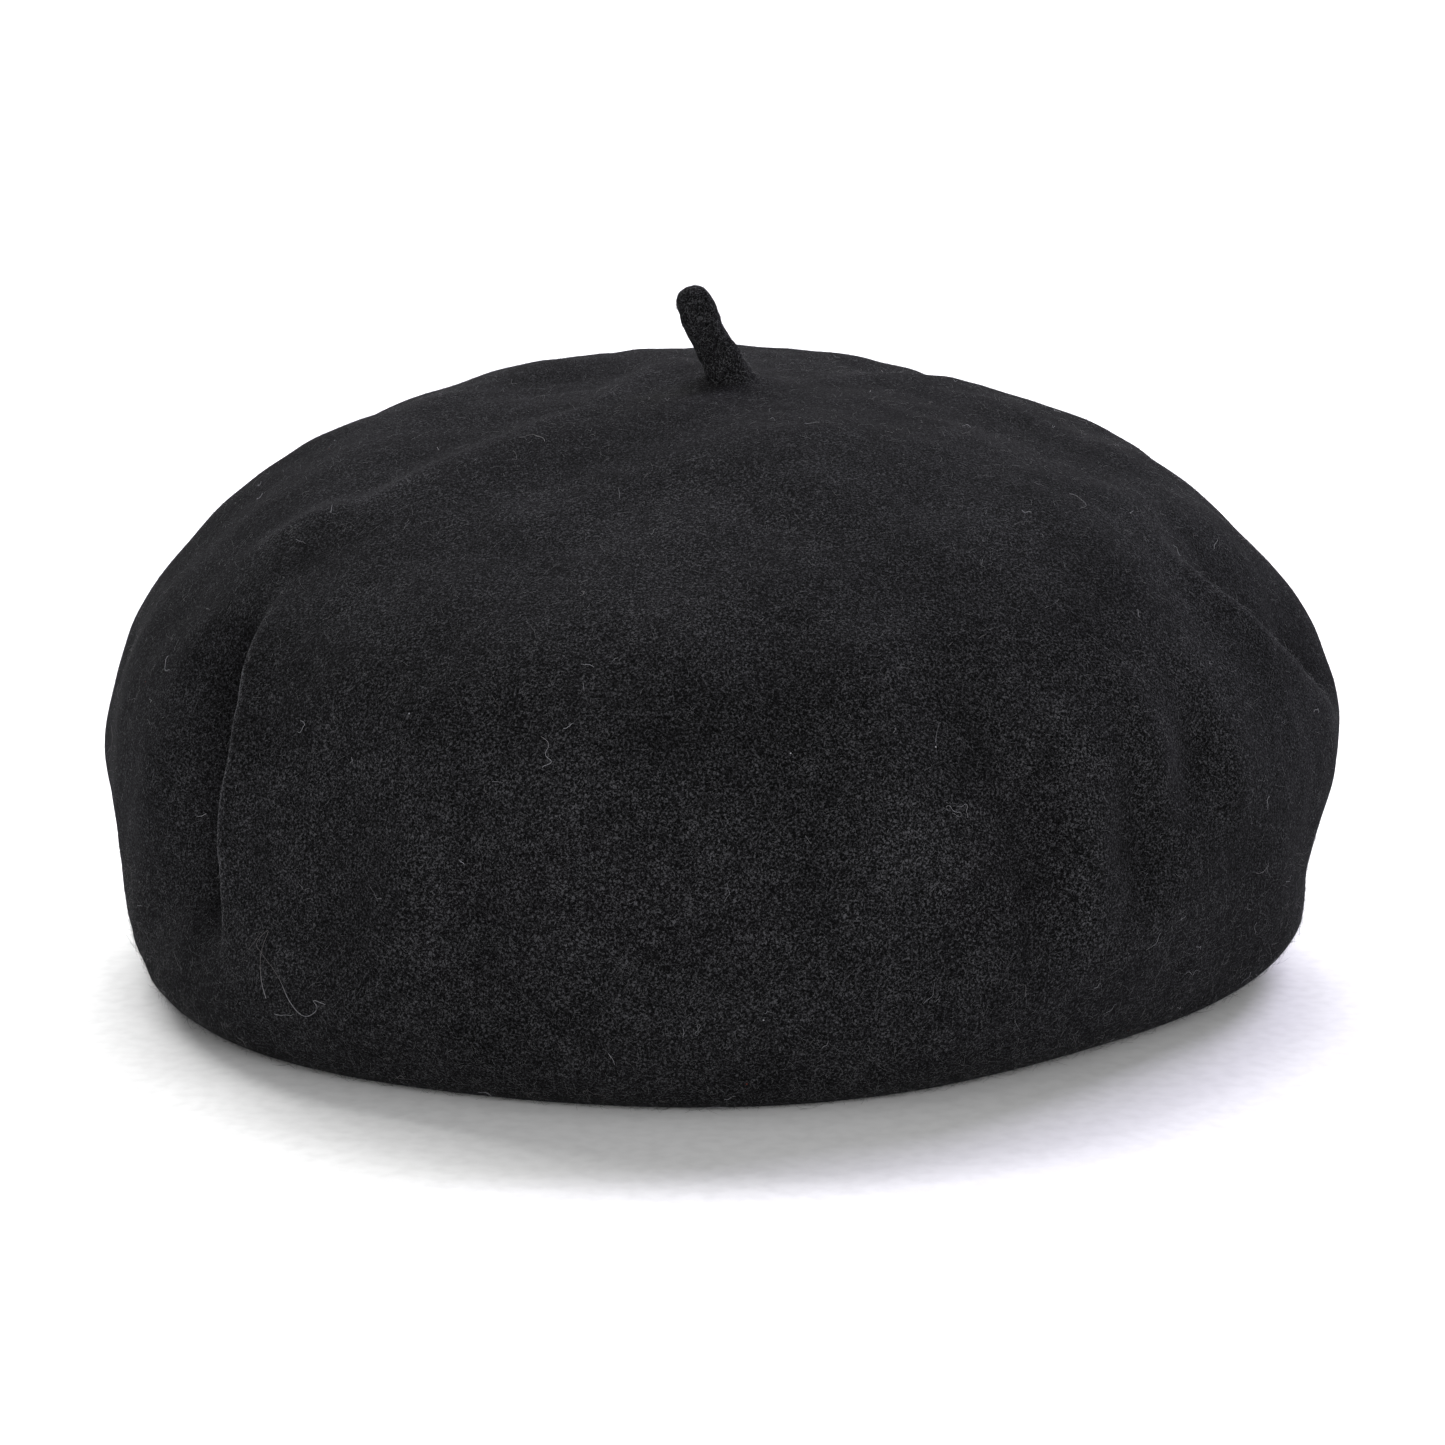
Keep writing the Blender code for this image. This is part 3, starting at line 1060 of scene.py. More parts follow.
    def wander(self, r: Array, z: Array, azimuth: Array) -> Array:
        """Slow and small unevenness of the felt all over, in mm."""
        chance = np.random.default_rng(11)
        place = at(r, azimuth, z)
        moved = np.zeros(len(r))
        for wave_mm, size_mm, count in WAVES:
            for _ in range(count):
                way = chance.normal(size=3)
                way *= 2 * math.pi / (wave_mm * MM * chance.uniform(0.7, 1.4)) / np.linalg.norm(way)
                wave = np.cos(place @ way + chance.uniform(0, 2 * math.pi))
                moved += size_mm * wave / math.sqrt(count / 4)
        return moved

    def points(self, arc: Any, azimuth: Array, depth: Any = 0.0) -> Array:
        """Points of the folded felt.

        Args:
            arc: distance down the outline from the stalk, in metres.
            azimuth: from the front, in radians.
            depth: how far inside the outer surface.

        Returns:
            The points.
        """
        r, z, out_r, out_z = self.meridian(np.broadcast_to(arc, azimuth.shape))
        moved = self.lift(r, z, azimuth) - depth
        return self.settled(r + out_r * moved, z + out_z * moved, azimuth)

    def top(self, depth: float = 0.0) -> Array:
        """The point under the stalk, this far inside the outer surface."""
        return self.points(0.0, np.zeros(1), depth)

    def settled(self, r: Any, z: Any, azimuth: Array) -> Array:
        """Lean, foot and collar of the whole hat, from its turned coordinates.

        Args:
            r: distance from the axis.
            z: height.
            azimuth: from the front, in radians.

        Returns:
            The points.
        """
        r, z, azimuth = np.broadcast_arrays(r, z, azimuth)
        free = eased(r, self.opening + MM, self.foot)
        low = 1 - eased(z, self.settled_from, self.settled_to)
        lower = 1 - eased(z, 0.0, self.lifted_to)
        shares = [settling.share(azimuth) * free * MM for settling in SETTLINGS]
        r = r + sum(move.out_mm * share * low for move, share in zip(SETTLINGS, shares))
        z = z + sum(move.up_mm * share * lower for move, share in zip(SETTLINGS, shares))
        above = z > self.widest
        slip = np.where(above, eased(r, *self.slips_between), free) * self.slip_left
        x, y, z = (at(r, azimuth, z) - np.stack([slip, 0 * slip, 0 * slip], -1)).T
        lean = self.rise_to_back * y / self.radius * eased(z, 0.0, self.height)
        drawn = np.exp(-(((x - self.stalk_aside) ** 2 + y**2) / self.collar_reach**2)) * above
        return np.stack([x, y, z * (1 + lean) + self.collar * drawn], -1)


# ---------------------------------------------------------------- sub-assemblies


@dataclass
class FeltCrown:
    """The one-piece felt body, with its nap and the lint caught in it."""

    form: FeltForm
    rows: int = 148
    columns: int = 512
    # Where the columns crowd: azimuth and spread in radians, and how many times more there are.
    crowding: tuple[Triple, ...] = ((-1.0, 0.2, 2.6), (1.2, 0.3, 1.2))
    lip_rows: int = 8
    inner_rows: int = 34
    nap_pieces: int = 3
    nap_fibres: int = 7500  # in each piece
    fibre_radius: float = 0.022 * MM
    lint_fibres: int = 300
    lint_radius: float = 0.025 * MM
    lint_steps: int = 26
    lint_curl: float = 700.0  # spread of the fibres' curls, in radians to a metre
    long_radius: float = 1.3 * 0.025 * MM

    def build(self) -> None:
        """Make the felt, its nap and its lint."""
        self.body()
        for i in range(self.nap_pieces):
            self.nap(i)
        self.lint()

    def body(self) -> None:
        """The felt itself, a closed shell whose lip turns round the head opening."""
        form = self.form
        felt = form.felt
        azimuth = self.azimuths()
        down = np.linspace(0, form.length, self.rows + 1)[1:]
        rings = [form.points(arc, azimuth) for arc in down]
        lip_middle = form.opening + felt / 2
        flat = form.foot - (form.foot - lip_middle) * np.linspace(0, 1, 4)[1:-1]
        lip = [(r, 0.0) for r in flat]
        for t in math.pi * np.linspace(0, 1, self.lip_rows):
            lip.append((lip_middle - felt / 2 * math.sin(t), felt / 2 * (1 - math.cos(t))))
        rings += [form.settled(r, z, azimuth) for r, z in lip]
        up = np.linspace(form.length, 0, self.inner_rows + 1)[:-1]
        rings += [form.points(arc, azimuth, felt) for arc in up]
        points = np.concatenate([form.top(), *rings, form.top(felt)])
        last = len(points) - 1
        faces = fan(0, 1, self.columns) + strip_faces(len(rings), self.columns, 1).tolist()
        faces += fan(last, last - self.columns, self.columns, True)
        crown = new_piece("crown_felt", points, faces)
        # Painted highlight and shade of the folds and dents, stored on the felt for its material;
        # worn holds it.
        painted_light = np.zeros(len(points), np.float32)
        worn = np.concatenate([form.painted_light(arc, azimuth) for arc in down])
        painted_light[1 : 1 + len(worn)] = worn
        crown.data.attributes.new("painted_light", "FLOAT", "POINT").data.foreach_set("value", painted_light)
        dress(crown, FulledWool(), Body.CROWN, "felt_crown")

    def azimuths(self) -> Array:
        """Azimuths of the mesh's columns, closer together near the two sharp folds."""
        turn = np.linspace(-math.pi, math.pi, 4001)
        crowd = 1 + sum(
            more * np.exp(-(((turn - place) / spread) ** 2))
            for place, spread, more in self.crowding
        )
        share = np.concatenate([[0], np.cumsum((crowd[1:] + crowd[:-1]) / 2)])
        return np.interp(np.arange(self.columns) / self.columns, share / share[-1], turn)

    def scatter(self, count: int, chance: np.random.Generator) -> tuple[Array, Array]:
        """Even random places on the felt's outer side.

        Args:
            count: number of places.
            chance: the source of chance.

        Returns:
            Distances down the outline, and azimuths in radians.
        """
        arc, r, *_ = self.form.table
        share = np.cumsum(r)
        arcs = np.interp(chance.uniform(0.0005, 0.985, count) * share[-1], share, arc)
        return arcs, chance.uniform(-math.pi, math.pi, count)

    def ground(self, arc: Array, azimuth: Array) -> tuple[Array, Array, Array, Array]:
        """The felt's points there, with the ways down, round and out.

        Args:
            arc: distances down the outline.
            azimuth: in radians.

        Returns:
            Points, and unit vectors down the felt, round the hat and out of it.
        """
        step = 0.2 * MM
        here = self.form.points(arc, azimuth)
        radius = np.maximum(self.form.meridian(arc)[0], step)
        down = self.form.points(arc + step, azimuth) - here
        around = self.form.points(arc, azimuth + step / radius) - here
        return here, unit(down), unit(around), unit(np.cross(down, around))

    def nap(self, index: int) -> None:
        """Raised fibres: short bent hairs that leave the felt at a low angle.

        Args:
            index: which share of the nap to make.
        """
        chance = np.random.default_rng(100 + index)
        count = self.nap_fibres
        here, down, around, out = self.ground(*self.scatter(count, chance))
        heading = chance.uniform(0, 2 * math.pi, count)[:, None]
        way = down * np.cos(heading) + around * np.sin(heading)
        beside = np.cross(out, way)
        length = (chance.gamma(3.0, 0.42, count).clip(0.4, 3.2) * MM)[:, None, None]
        rise = np.radians(chance.uniform(8, 48, count))[:, None, None]
        t = np.linspace(0, 1, 5)[None, :, None]
        bend = chance.normal(0, 0.7, count)[:, None, None]
        paths = here[:, None] + length * (
            way[:, None] * t * np.cos(rise)
            + out[:, None] * (np.sin(rise) * (t - 0.35 * t**2) - 0.06)
            + beside[:, None] * bend * t**2
        )
        paths[..., 2] = np.maximum(paths[..., 2], self.fibre_radius)
        radii = self.fibre_radius * chance.uniform(0.7, 1.2, count)
        nap = tube_piece(f"crown_nap_{index + 1}", paths, radii, 3, 0.5)
        dress(nap, WoolFibre(), Body.CROWN)

    def lint(self) -> None:
        """Pale fibres that lie on the nap in loose curls, and two longer ones."""
        chance = np.random.default_rng(7)
        count, steps = self.lint_fibres, self.lint_steps
        arc, azimuth = self.scatter(count, chance)
        advance = chance.gamma(2.4, 1.0, count).clip(0.8, 7.0) * MM / steps
        curl = chance.normal(0, self.lint_curl, count)
        heading, wobble = (chance.uniform(0, 2 * math.pi, count) for _ in range(2))
        paths = []
        for i in range(steps):
            here, _, _, out = self.ground(arc, azimuth)
            lift = 0.12 + 0.35 * np.sin(math.pi * i / steps + wobble) ** 2
            paths.append(here + out * (lift * MM)[:, None])
            heading = heading + curl * advance * (0.6 + 1.6 * np.sin(i * 0.45 + wobble))
            radius = np.maximum(self.form.meridian(arc)[0], 5 * MM)
            arc = np.clip(arc + advance * np.cos(heading), MM, self.form.length - MM)
            azimuth = azimuth + advance * np.sin(heading) / radius
        radii = self.lint_radius * chance.uniform(0.6, 1.2, count)
        paths = np.stack(paths, 1)
        paths[..., 2] = np.maximum(paths[..., 2], self.lint_radius)
        lint = tube_piece("crown_lint", paths, radii, 4, 0.6)
        paths = np.stack([self.laid(line, 90) for line in LONG_LINT])
        radii = np.full(len(paths), self.long_radius)
        for piece in (lint, tube_piece("crown_long_lint", paths, radii, 5, 0.7)):
            dress(piece, UndyedLint(), Body.CROWN)

    def laid(self, line: tuple[Pair, ...], steps: int) -> Array:
        """A fibre that lies on the wall along a smoothed line.

        Args:
            line: degrees from the front and heights in mm.
            steps: number of points.

        Returns:
            The points.
        """
        path = np.array(line, float)
        for _ in range(3):
            near, far = (path[:-1] * (1 - t) + path[1:] * t for t in (0.25, 0.75))
            path = np.concatenate([path[:1], np.stack([near, far], 1).reshape(-1, 2), path[-1:]])
        share = np.linspace(0, len(path) - 1, steps)
        degrees, height = (np.interp(share, np.arange(len(path)), column) for column in path.T)
        down, _, z, _, _ = self.form.table
        here, _, _, out = self.ground(np.interp(-height * MM, -z, down), np.radians(degrees))
        lift = 0.2 + 0.25 * np.sin(np.linspace(0, 9, steps)) ** 2
        return here + out * (lift * MM)[:, None]


@dataclass
class Stalk:
    """The felt stalk on top, rolled from the end of the knitting, with its fuzz."""

    form: FeltForm
    lean: float = math.radians(25)  # towards -X, reached a little above the foot
    length: float = 18.3 * MM
    sunk: float = 2.4 * MM  # how far its foot lies under the felt
    bend_end: float = 5.0 * MM
    bends_between: Pair = (-0.5 * MM, 6.5 * MM)  # along the stalk from its base; join works them out but bends nothing
    neck: float = 3.25 * MM
    head: float = 3.35 * MM
    flare: float = 5.2 * MM  # extra radius where it grows out of the crown
    flare_reach: float = 2.2 * MM
    rows: int = 70
    columns: int = 72
    fuzz_fibres: int = 900
    fibre_radius: float = 0.022 * MM

    def build(self) -> None:
        """Make the stalk and its fuzz."""
        rows = np.linspace(0, 1, self.rows)
        share, around = np.meshgrid(rows, turns(self.columns), indexing="ij")
        points, _ = self.surface(share.ravel(), around.ravel())
        tip, _ = self.surface(np.array([1.0001]), np.array([0.0]))
        faces = strip_faces(self.rows, self.columns)[:, ::-1].tolist()
        faces += fan(len(points), len(points) - self.columns, self.columns)
        faces.append(list(range(self.columns))[::-1])
        stalk = new_piece("stalk_felt", np.concatenate([points, tip]), faces)
        self.join(stalk, FulledWool(), "cabillou")
        self.fuzz()

    def join(self, piece: bpy.types.Object, finish: Finish, *nodes: str) -> None:
        """Dress a piece of the stalk, attached to no body, and bake its place into its mesh.

        Args:
            piece: the finished mesh.
            finish: its finish.
            *nodes: the frame's nodes that it replaces.
        """
        dress(piece, finish, None, *nodes)
        start, end = (tuple(self.base() + self.way() * reach) for reach in self.bends_between)
        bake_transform(piece)
        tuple(start)
        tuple(end)

    def way(self) -> Array:
        """The stalk's direction at rest."""
        return np.array([-math.sin(self.lean), 0.0, math.cos(self.lean)])

    def base(self) -> Array:
        """Where the stalk leaves the felt."""
        return np.array([self.form.stalk_aside, 0.0, self.form.height])

    def spine(self, along: Array) -> tuple[Array, Array]:
        """The stalk's middle line, upright at the foot and then leaning.

        Args:
            along: distances up the stalk from the felt.

        Returns:
            The points, and the unit vectors to the stalk's right.
        """
        up = np.linspace(-self.sunk, self.length, 120)
        lean = self.lean * eased(up, -self.sunk, self.bend_end)
        step = up[1] - up[0]
        x = np.cumsum(-np.sin(lean)) * step
        z = np.cumsum(np.cos(lean)) * step - self.sunk
        here, angle = np.interp(along, up, x), np.interp(along, up, lean)
        level = np.zeros_like(here)
        middle = self.base() + np.stack([here, level, np.interp(along, up, z)], -1)
        return middle, np.stack([np.cos(angle), level, np.sin(angle)], -1)

    def surface(self, share: Array, turn: Array) -> tuple[Array, Array]:
        """Points on the stalk's surface.

        Args:
            share: 0 at the foot to 1 at the tip.
            turn: round the stalk, in radians.

        Returns:
            The points, and the ways out from the stalk's middle line.
        """
        along = -self.sunk + (self.length + self.sunk) * share
        swell = eased(along, 3 * MM, 14 * MM)
        radius = self.neck + (self.head - self.neck) * swell
        drawn = 1 + 0.45 * np.cos(turn)  # the felt is drawn up more on the side it leans from
        radius = radius + self.flare * drawn * np.exp(-(along + self.sunk) / self.flare_reach)
        to_tip = np.clip((self.length - along) / self.head, 0, 1)
        radius = radius * np.sqrt(np.clip(1 - (1 - to_tip) ** 2, 0, 1))
        lumps = sum(
            size * np.sin(round_it * turn + along / MM * up)
            for size, round_it, up in ((0.16, 3, 0.5), (0.12, 2, -0.9), (0.07, 7, 1.9))
        )
        radius = radius + lumps * MM * eased(to_tip, 0.0, 0.6)
        middle, right = self.spine(along)
        front = np.array([0.0, -1.0, 0.0])
        out = np.cos(turn)[:, None] * right + np.outer(np.sin(turn), front)
        return middle + out * radius[:, None], out

    def fuzz(self) -> None:
        """Short fibres that stand out of the stalk."""
        chance, count = np.random.default_rng(31), self.fuzz_fibres
        share = chance.uniform(0.1, 0.99, count)
        turn = chance.uniform(0, 2 * math.pi, count)
        here, out = self.surface(share, turn)
        way = self.way()[None] * chance.normal(0.25, 0.6, (count, 1))
        way = way + np.cross(out, self.way()[None]) * chance.normal(0, 0.7, (count, 1))
        t = np.linspace(0, 1, 5)[None, :, None]
        length = (chance.gamma(3.0, 0.28, count).clip(0.3, 2.0) * MM)[:, None, None]
        rise = chance.uniform(0.2, 0.9, count)[:, None, None]
        paths = here[:, None] + length * (out[:, None] * (t * rise - 0.1) + way[:, None] * t**1.3)
        fuzz = tube_piece("stalk_fuzz", paths, np.full(count, self.fibre_radius), 3, 0.5)
        self.join(fuzz, WoolFibre())


@dataclass
class SatinLining:
    """The satin lining: a round tip, a gathered side, the seam between them and the tack above."""

    form: FeltForm
    drop: float = 2.0 * MM  # from the felt's inner side
    satin: float = 0.5 * MM
    seam_radius: float = 60.2 * MM
    allowance: float = 1.6 * MM
    side_width: float = 112 * MM  # of the strip as it was cut, from the tip's seam to the band
    side_length: float = 670 * MM  # round the widest place, with a little ease
    band_height: float = 5.0 * MM  # where the side's foot meets the band
    columns: int = 720
    tip_rows: int = 42
    side_rows: int = 46
    stitches: int = 146
    thread: float = 0.19 * MM

    def build(self) -> None:
        """Make the tip, the side, the seam's stitches and the tack."""
        self.tip()
        self.side()
        self.seam()
        self.tack()

    @property
    def depth(self) -> float:
        """Depth of the satin's middle under the felt's outer side."""
        return self.form.felt + self.drop + self.satin / 2

    def arc_at(self, radius: float) -> float:
        """Distance down the outline where the lining has this radius, on the dome."""
        arc = np.linspace(0, self.form.length * 0.7, 2000)
        r, _, out_r, _ = self.form.meridian(arc)
        return float(np.interp(radius, r - out_r * self.depth, arc))

    def puckers(self, azimuth: Array, count: int, seed: int) -> Array:
        """Uneven gathers round the hat, from 0 to 1.

        Args:
            azimuth: in radians.
            count: number of gathers.
            seed: for their unevenness.

        Returns:
            How far each point lies into the gather beside it.
        """
        chance = np.random.default_rng(seed)
        phase = count * azimuth
        for harmonic in (3, 7, 11, 17):
            size, shift = chance.uniform(0.5, 1.3), chance.uniform(0, 6.3)
            phase = phase + size * np.sin(harmonic * azimuth + shift)
        depth = 0.7 + 0.3 * np.sin(5 * azimuth + chance.uniform(0, 6.3)) * np.sin(13 * azimuth)
        return (0.5 + 0.5 * np.cos(phase)) * depth

    def tip(self) -> None:
        """The round tip, which hangs a little slack from its seam."""
        azimuth = turns(self.columns)
        arcs = np.linspace(0.6 * MM, self.arc_at(self.seam_radius), self.tip_rows)
        gather = self.puckers(azimuth, 88, 3)
        rows, cloth = [], []
        for arc in arcs:
            share = arc / arcs[-1]
            slack = 1.4 * MM * math.sin(math.pi * share) ** 0.8
            crush = 0.35 * MM * np.sin(9 * share + 2 * np.sin(2 * azimuth) + 3 * azimuth) * share
            slack = slack + crush * math.sin(math.pi * share) + 0.55 * MM * gather * share**10
            rows.append(self.form.points(arc, azimuth, self.depth + slack))
            cloth.append(at(arc / MM, azimuth, 0.0)[:, :2] * [1, -1])
        middle, cloth = np.stack(rows), np.stack(cloth)
        out = middle - [0, 0, 0.05]
        tip = thick_sheet("lining_tip_satin", middle, self.satin, True, out, cloth, centre=True)
        dress(tip, LiningSatin(), Body.CROWN, "lining_tip")

    def side(self) -> None:
        """The side, gathered into the tip's seam above and behind the sweatband below."""
        form = self.form
        azimuth = turns(self.columns)
        start = self.arc_at(self.seam_radius + 0.5 * MM)
        arcs = np.linspace(start, form.length, self.side_rows - 6)
        top, foot = self.puckers(azimuth, 70, 5), self.puckers(azimuth, 58, 9)
        rows = []
        for arc in arcs:
            share = (arc - start) / (form.length - start)
            fold = 1.5 * MM * top * math.exp(-share / 0.16) + 1.1 * MM * foot * share**3
            wave = 1 + np.sin(6 * share + 4 * azimuth)
            fold = fold + 0.4 * MM * wave * math.sin(math.pi * share)
            hem = 0.5 * MM * math.exp(-share / 0.02)
            rows.append(form.points(arc, azimuth, self.depth + fold + hem))
        above = self.band_height + self.satin / 2
        edge = form.opening + 0.2 * MM
        for share in np.linspace(0, 1, 7)[1:]:
            r = form.foot + (edge - form.foot) * share
            z = above + 1.1 * MM * foot * (1 - share)
            rows.append(form.settled(r, z, azimuth))
        middle = np.stack(rows)
        across = np.linspace(0, self.side_width / MM, len(rows))
        along = np.linspace(0, self.side_length / MM, self.columns)
        cloth = np.stack(np.meshgrid(along, across), -1)
        away = middle * [1, 1, 0]
        side = thick_sheet("lining_side_satin", middle, self.satin, True, away, cloth)
        dress(side, LiningSatin(), Body.CROWN, "lining_side")

    def seam(self) -> None:
        """Short stitches that join the tip and the side."""
        arc = self.arc_at(self.seam_radius + 0.2 * MM)

        def place(along: Array, above: Array) -> Array:
            """Points on the seam, this far below the satin."""
            depth = self.depth + self.satin / 2 + 0.45 * MM + above
            return self.form.points(arc, along * 2 * math.pi, depth)

        sewn = ("lining_seam_stitches", place, self.stitches, 0.28 * MM, self.thread)
        sew(*sewn, "lining_seam_thread", share=0.78, steps=5, sides=6)

    def tack(self) -> None:
        """The small felt patch that holds the stalk's root, under the crown's middle."""
        turn = turns(64)
        rim = 4.3 * MM * (1 + 0.035 * np.sin(3 * turn) + 0.02 * np.sin(8 * turn))
        inside = self.form.top(self.form.felt)[0, 2]
        r = np.outer(np.linspace(0.06, 1, 10), rim)
        z = inside - 0.95 * MM - 0.16 * r**2 / (5 * MM)
        middle = at(r, turn, z)
        out = middle * 0 - [0, 0, 1]
        patch = thick_sheet("stalk_tack_patch", middle, MM, True, out, centre=True)
        dress(patch, FulledWool(), Body.CROWN, "cabillou_tack")


@dataclass
class Sweatband:
    """The leather sweatband, its stitches and the flat bow at its joint."""

    form: FeltForm
    leather: float = 1.1 * MM
    frame_leather: float = 1.2 * MM  # the frame's band, whose inner side this one keeps
    inner: float = 0.0
    low: float = 0.0
    high: float = 0.0
    joint: float = 1.0 * MM  # half the gap where its ends meet, at the back
    tooled_line: float = 2.6 * MM  # below the free edge
    columns: int = 540
    rows: int = 30
    stitches: int = 124
    thread: float = 0.24 * MM

    def __post_init__(self) -> None:
        """Take the sizes that the frame gives."""
        low, high = corners("sweatband")
        self.inner = high[0] - self.frame_leather
        self.low, self.high = low[2], high[2]

    def build(self) -> None:
        """Make the band, its stitches and the bow."""
        self.band()
        self.stitching()
        self.loops()
        self.knot()

    def middle_radius(self, height: Array, azimuth: Array) -> Array:
        """Radius of the leather's middle at each height and azimuth: it leans in a little above."""
        rise = (height - self.low) / (self.high - self.low)
        wave = 0.16 * np.sin(5 * azimuth + 0.6) + 0.12 * np.sin(9 * azimuth + 2.0)
        lean = eased(rise, 0.25, 1.0) * (0.3 + wave) * MM
        return self.inner + self.leather / 2 + 0.02 * MM - lean

    def band(self) -> None:
        """The leather strip, with a line tooled below its free edge."""
        gap = self.joint / self.inner
        azimuth = np.linspace(-math.pi + gap, math.pi - gap, self.columns)
        drop = self.leather / 2
        height = np.linspace(self.low + drop, self.high - drop, self.rows)
        line = self.high - self.tooled_line
        extra = line + np.array([-0.5, -0.25, 0, 0.25, 0.5]) * MM
        height = np.sort(np.concatenate([height, extra]))
        z, turn = np.meshgrid(height, azimuth, indexing="ij")
        groove = 0.16 * MM * np.exp(-(((z - line) / (0.3 * MM)) ** 2))
        r = self.middle_radius(z, turn) + groove
        top = eased(z, self.high - 4 * MM, self.high) * 0.25 * MM
        z = z - top * (1 + np.sin(7 * turn + 1.0)) / 2
        middle = at(r, turn, z)
        band = thick_sheet("sweatband_leather", middle, self.leather, False, middle * [1, 1, 0])
        dress(band, Sheepskin(), Body.CROWN, "sweatband")

    def stitching(self) -> None:
        """The stitches that hold the band to the felt's mouth."""
        height = np.mean([corner[2] for corner in corners("sweatband_stitching")])

        def place(along: Array, above: Array) -> Array:
            """Points on the band's inner side, this far off the leather."""
            azimuth = (along * 2 - 1) * math.pi
            r = self.middle_radius(height, azimuth) - self.leather / 2 - 0.12 * MM - above
            return at(r, azimuth, height)

        sewn = ("sweatband_stitches", place, self.stitches, 0.3 * MM, self.thread)
        sew(*sewn, "sweatband_stitching")

    def loops(self) -> None:
        """The bow's two loops of ribbon, pinched at the knot."""
        ribbon, rows, columns = 0.36 * MM, 46, 13
        for side, node in ((-1, "bow_left_loop"), (1, "bow_right_loop")):
            low, high = corners(node)
            reach = max(abs(low[0]), abs(high[0])) - ribbon
            t, w = tape_grid(rows, columns)
            swing = np.sin(math.pi * t) ** 0.75
            x = 2.0 * MM + (reach - 2.0 * MM) * swing
            open_by = 0.32 * MM + 0.62 * MM * np.sin(math.pi * np.clip(swing, 0, 1)) ** 0.7
            y = (low[1] + high[1]) / 2 - np.cos(math.pi * t) * open_by
            y = y + 0.25 * MM * (w**2 - 0.4) * (1 - swing) * np.cos(math.pi * t)
            half = (high[2] - low[2]) / 2 - 0.2 * MM
            pinch = 0.55 + 0.45 * eased(swing, 0.0, 0.55)
            z = (low[2] + high[2]) / 2 + w * half * pinch
            y = y + 0.16 * MM * np.sin(w * 7) * (1 - eased(swing, 0.0, 0.5))
            middle = np.stack([side * x, y, z], -1)
            cloth = np.stack([t * 2 * reach / MM, (w + 1) * half / MM], -1)
            name = f"bow_loop_{'left' if side < 0 else 'right'}"
            loop = thick_sheet(name, middle, ribbon, False, uv=cloth)
            dress(loop, Grosgrain(), Body.CROWN, node)

    def knot(self) -> None:
        """The ribbon wrapped round the bow's middle."""
        low, high = corners("bow_knot")
        centre, half = (low + high) / 2, (high - low) / 2
        rows, columns = 18, 72
        turn = turns(columns)
        side, up = np.cos(turn), np.sin(turn)
        side, up = np.sign(side) * np.abs(side) ** 0.7, np.sign(up) * np.abs(up) ** 0.6
        rings, cloth = [], []
        for a in np.linspace(-1, 1, rows):
            swell = 1 - 0.1 * abs(a) ** 3
            fold = 1 + 0.035 * math.cos(9 * a) * np.sin(turn + 1)
            x = np.full(columns, a * half[0])
            y, z = half[1] * 0.96 * swell * fold * side, half[2] * 0.97 * swell * up
            rings.append(np.stack([x * 0.97, y, z], -1) + centre)
            cloth.append(np.stack([turn * half[2] / MM, x / MM], -1))
        quads = strip_faces(rows, columns).tolist()
        first = list(range(columns))
        ends = [first, [(rows - 1) * columns + i for i in first[::-1]]]
        points, cloth = np.concatenate(rings), np.concatenate(cloth)
        knot = new_piece("bow_knot_ribbon", points, quads + ends, cloth)
        dress(knot, Grosgrain(), Body.CROWN, "bow_knot")


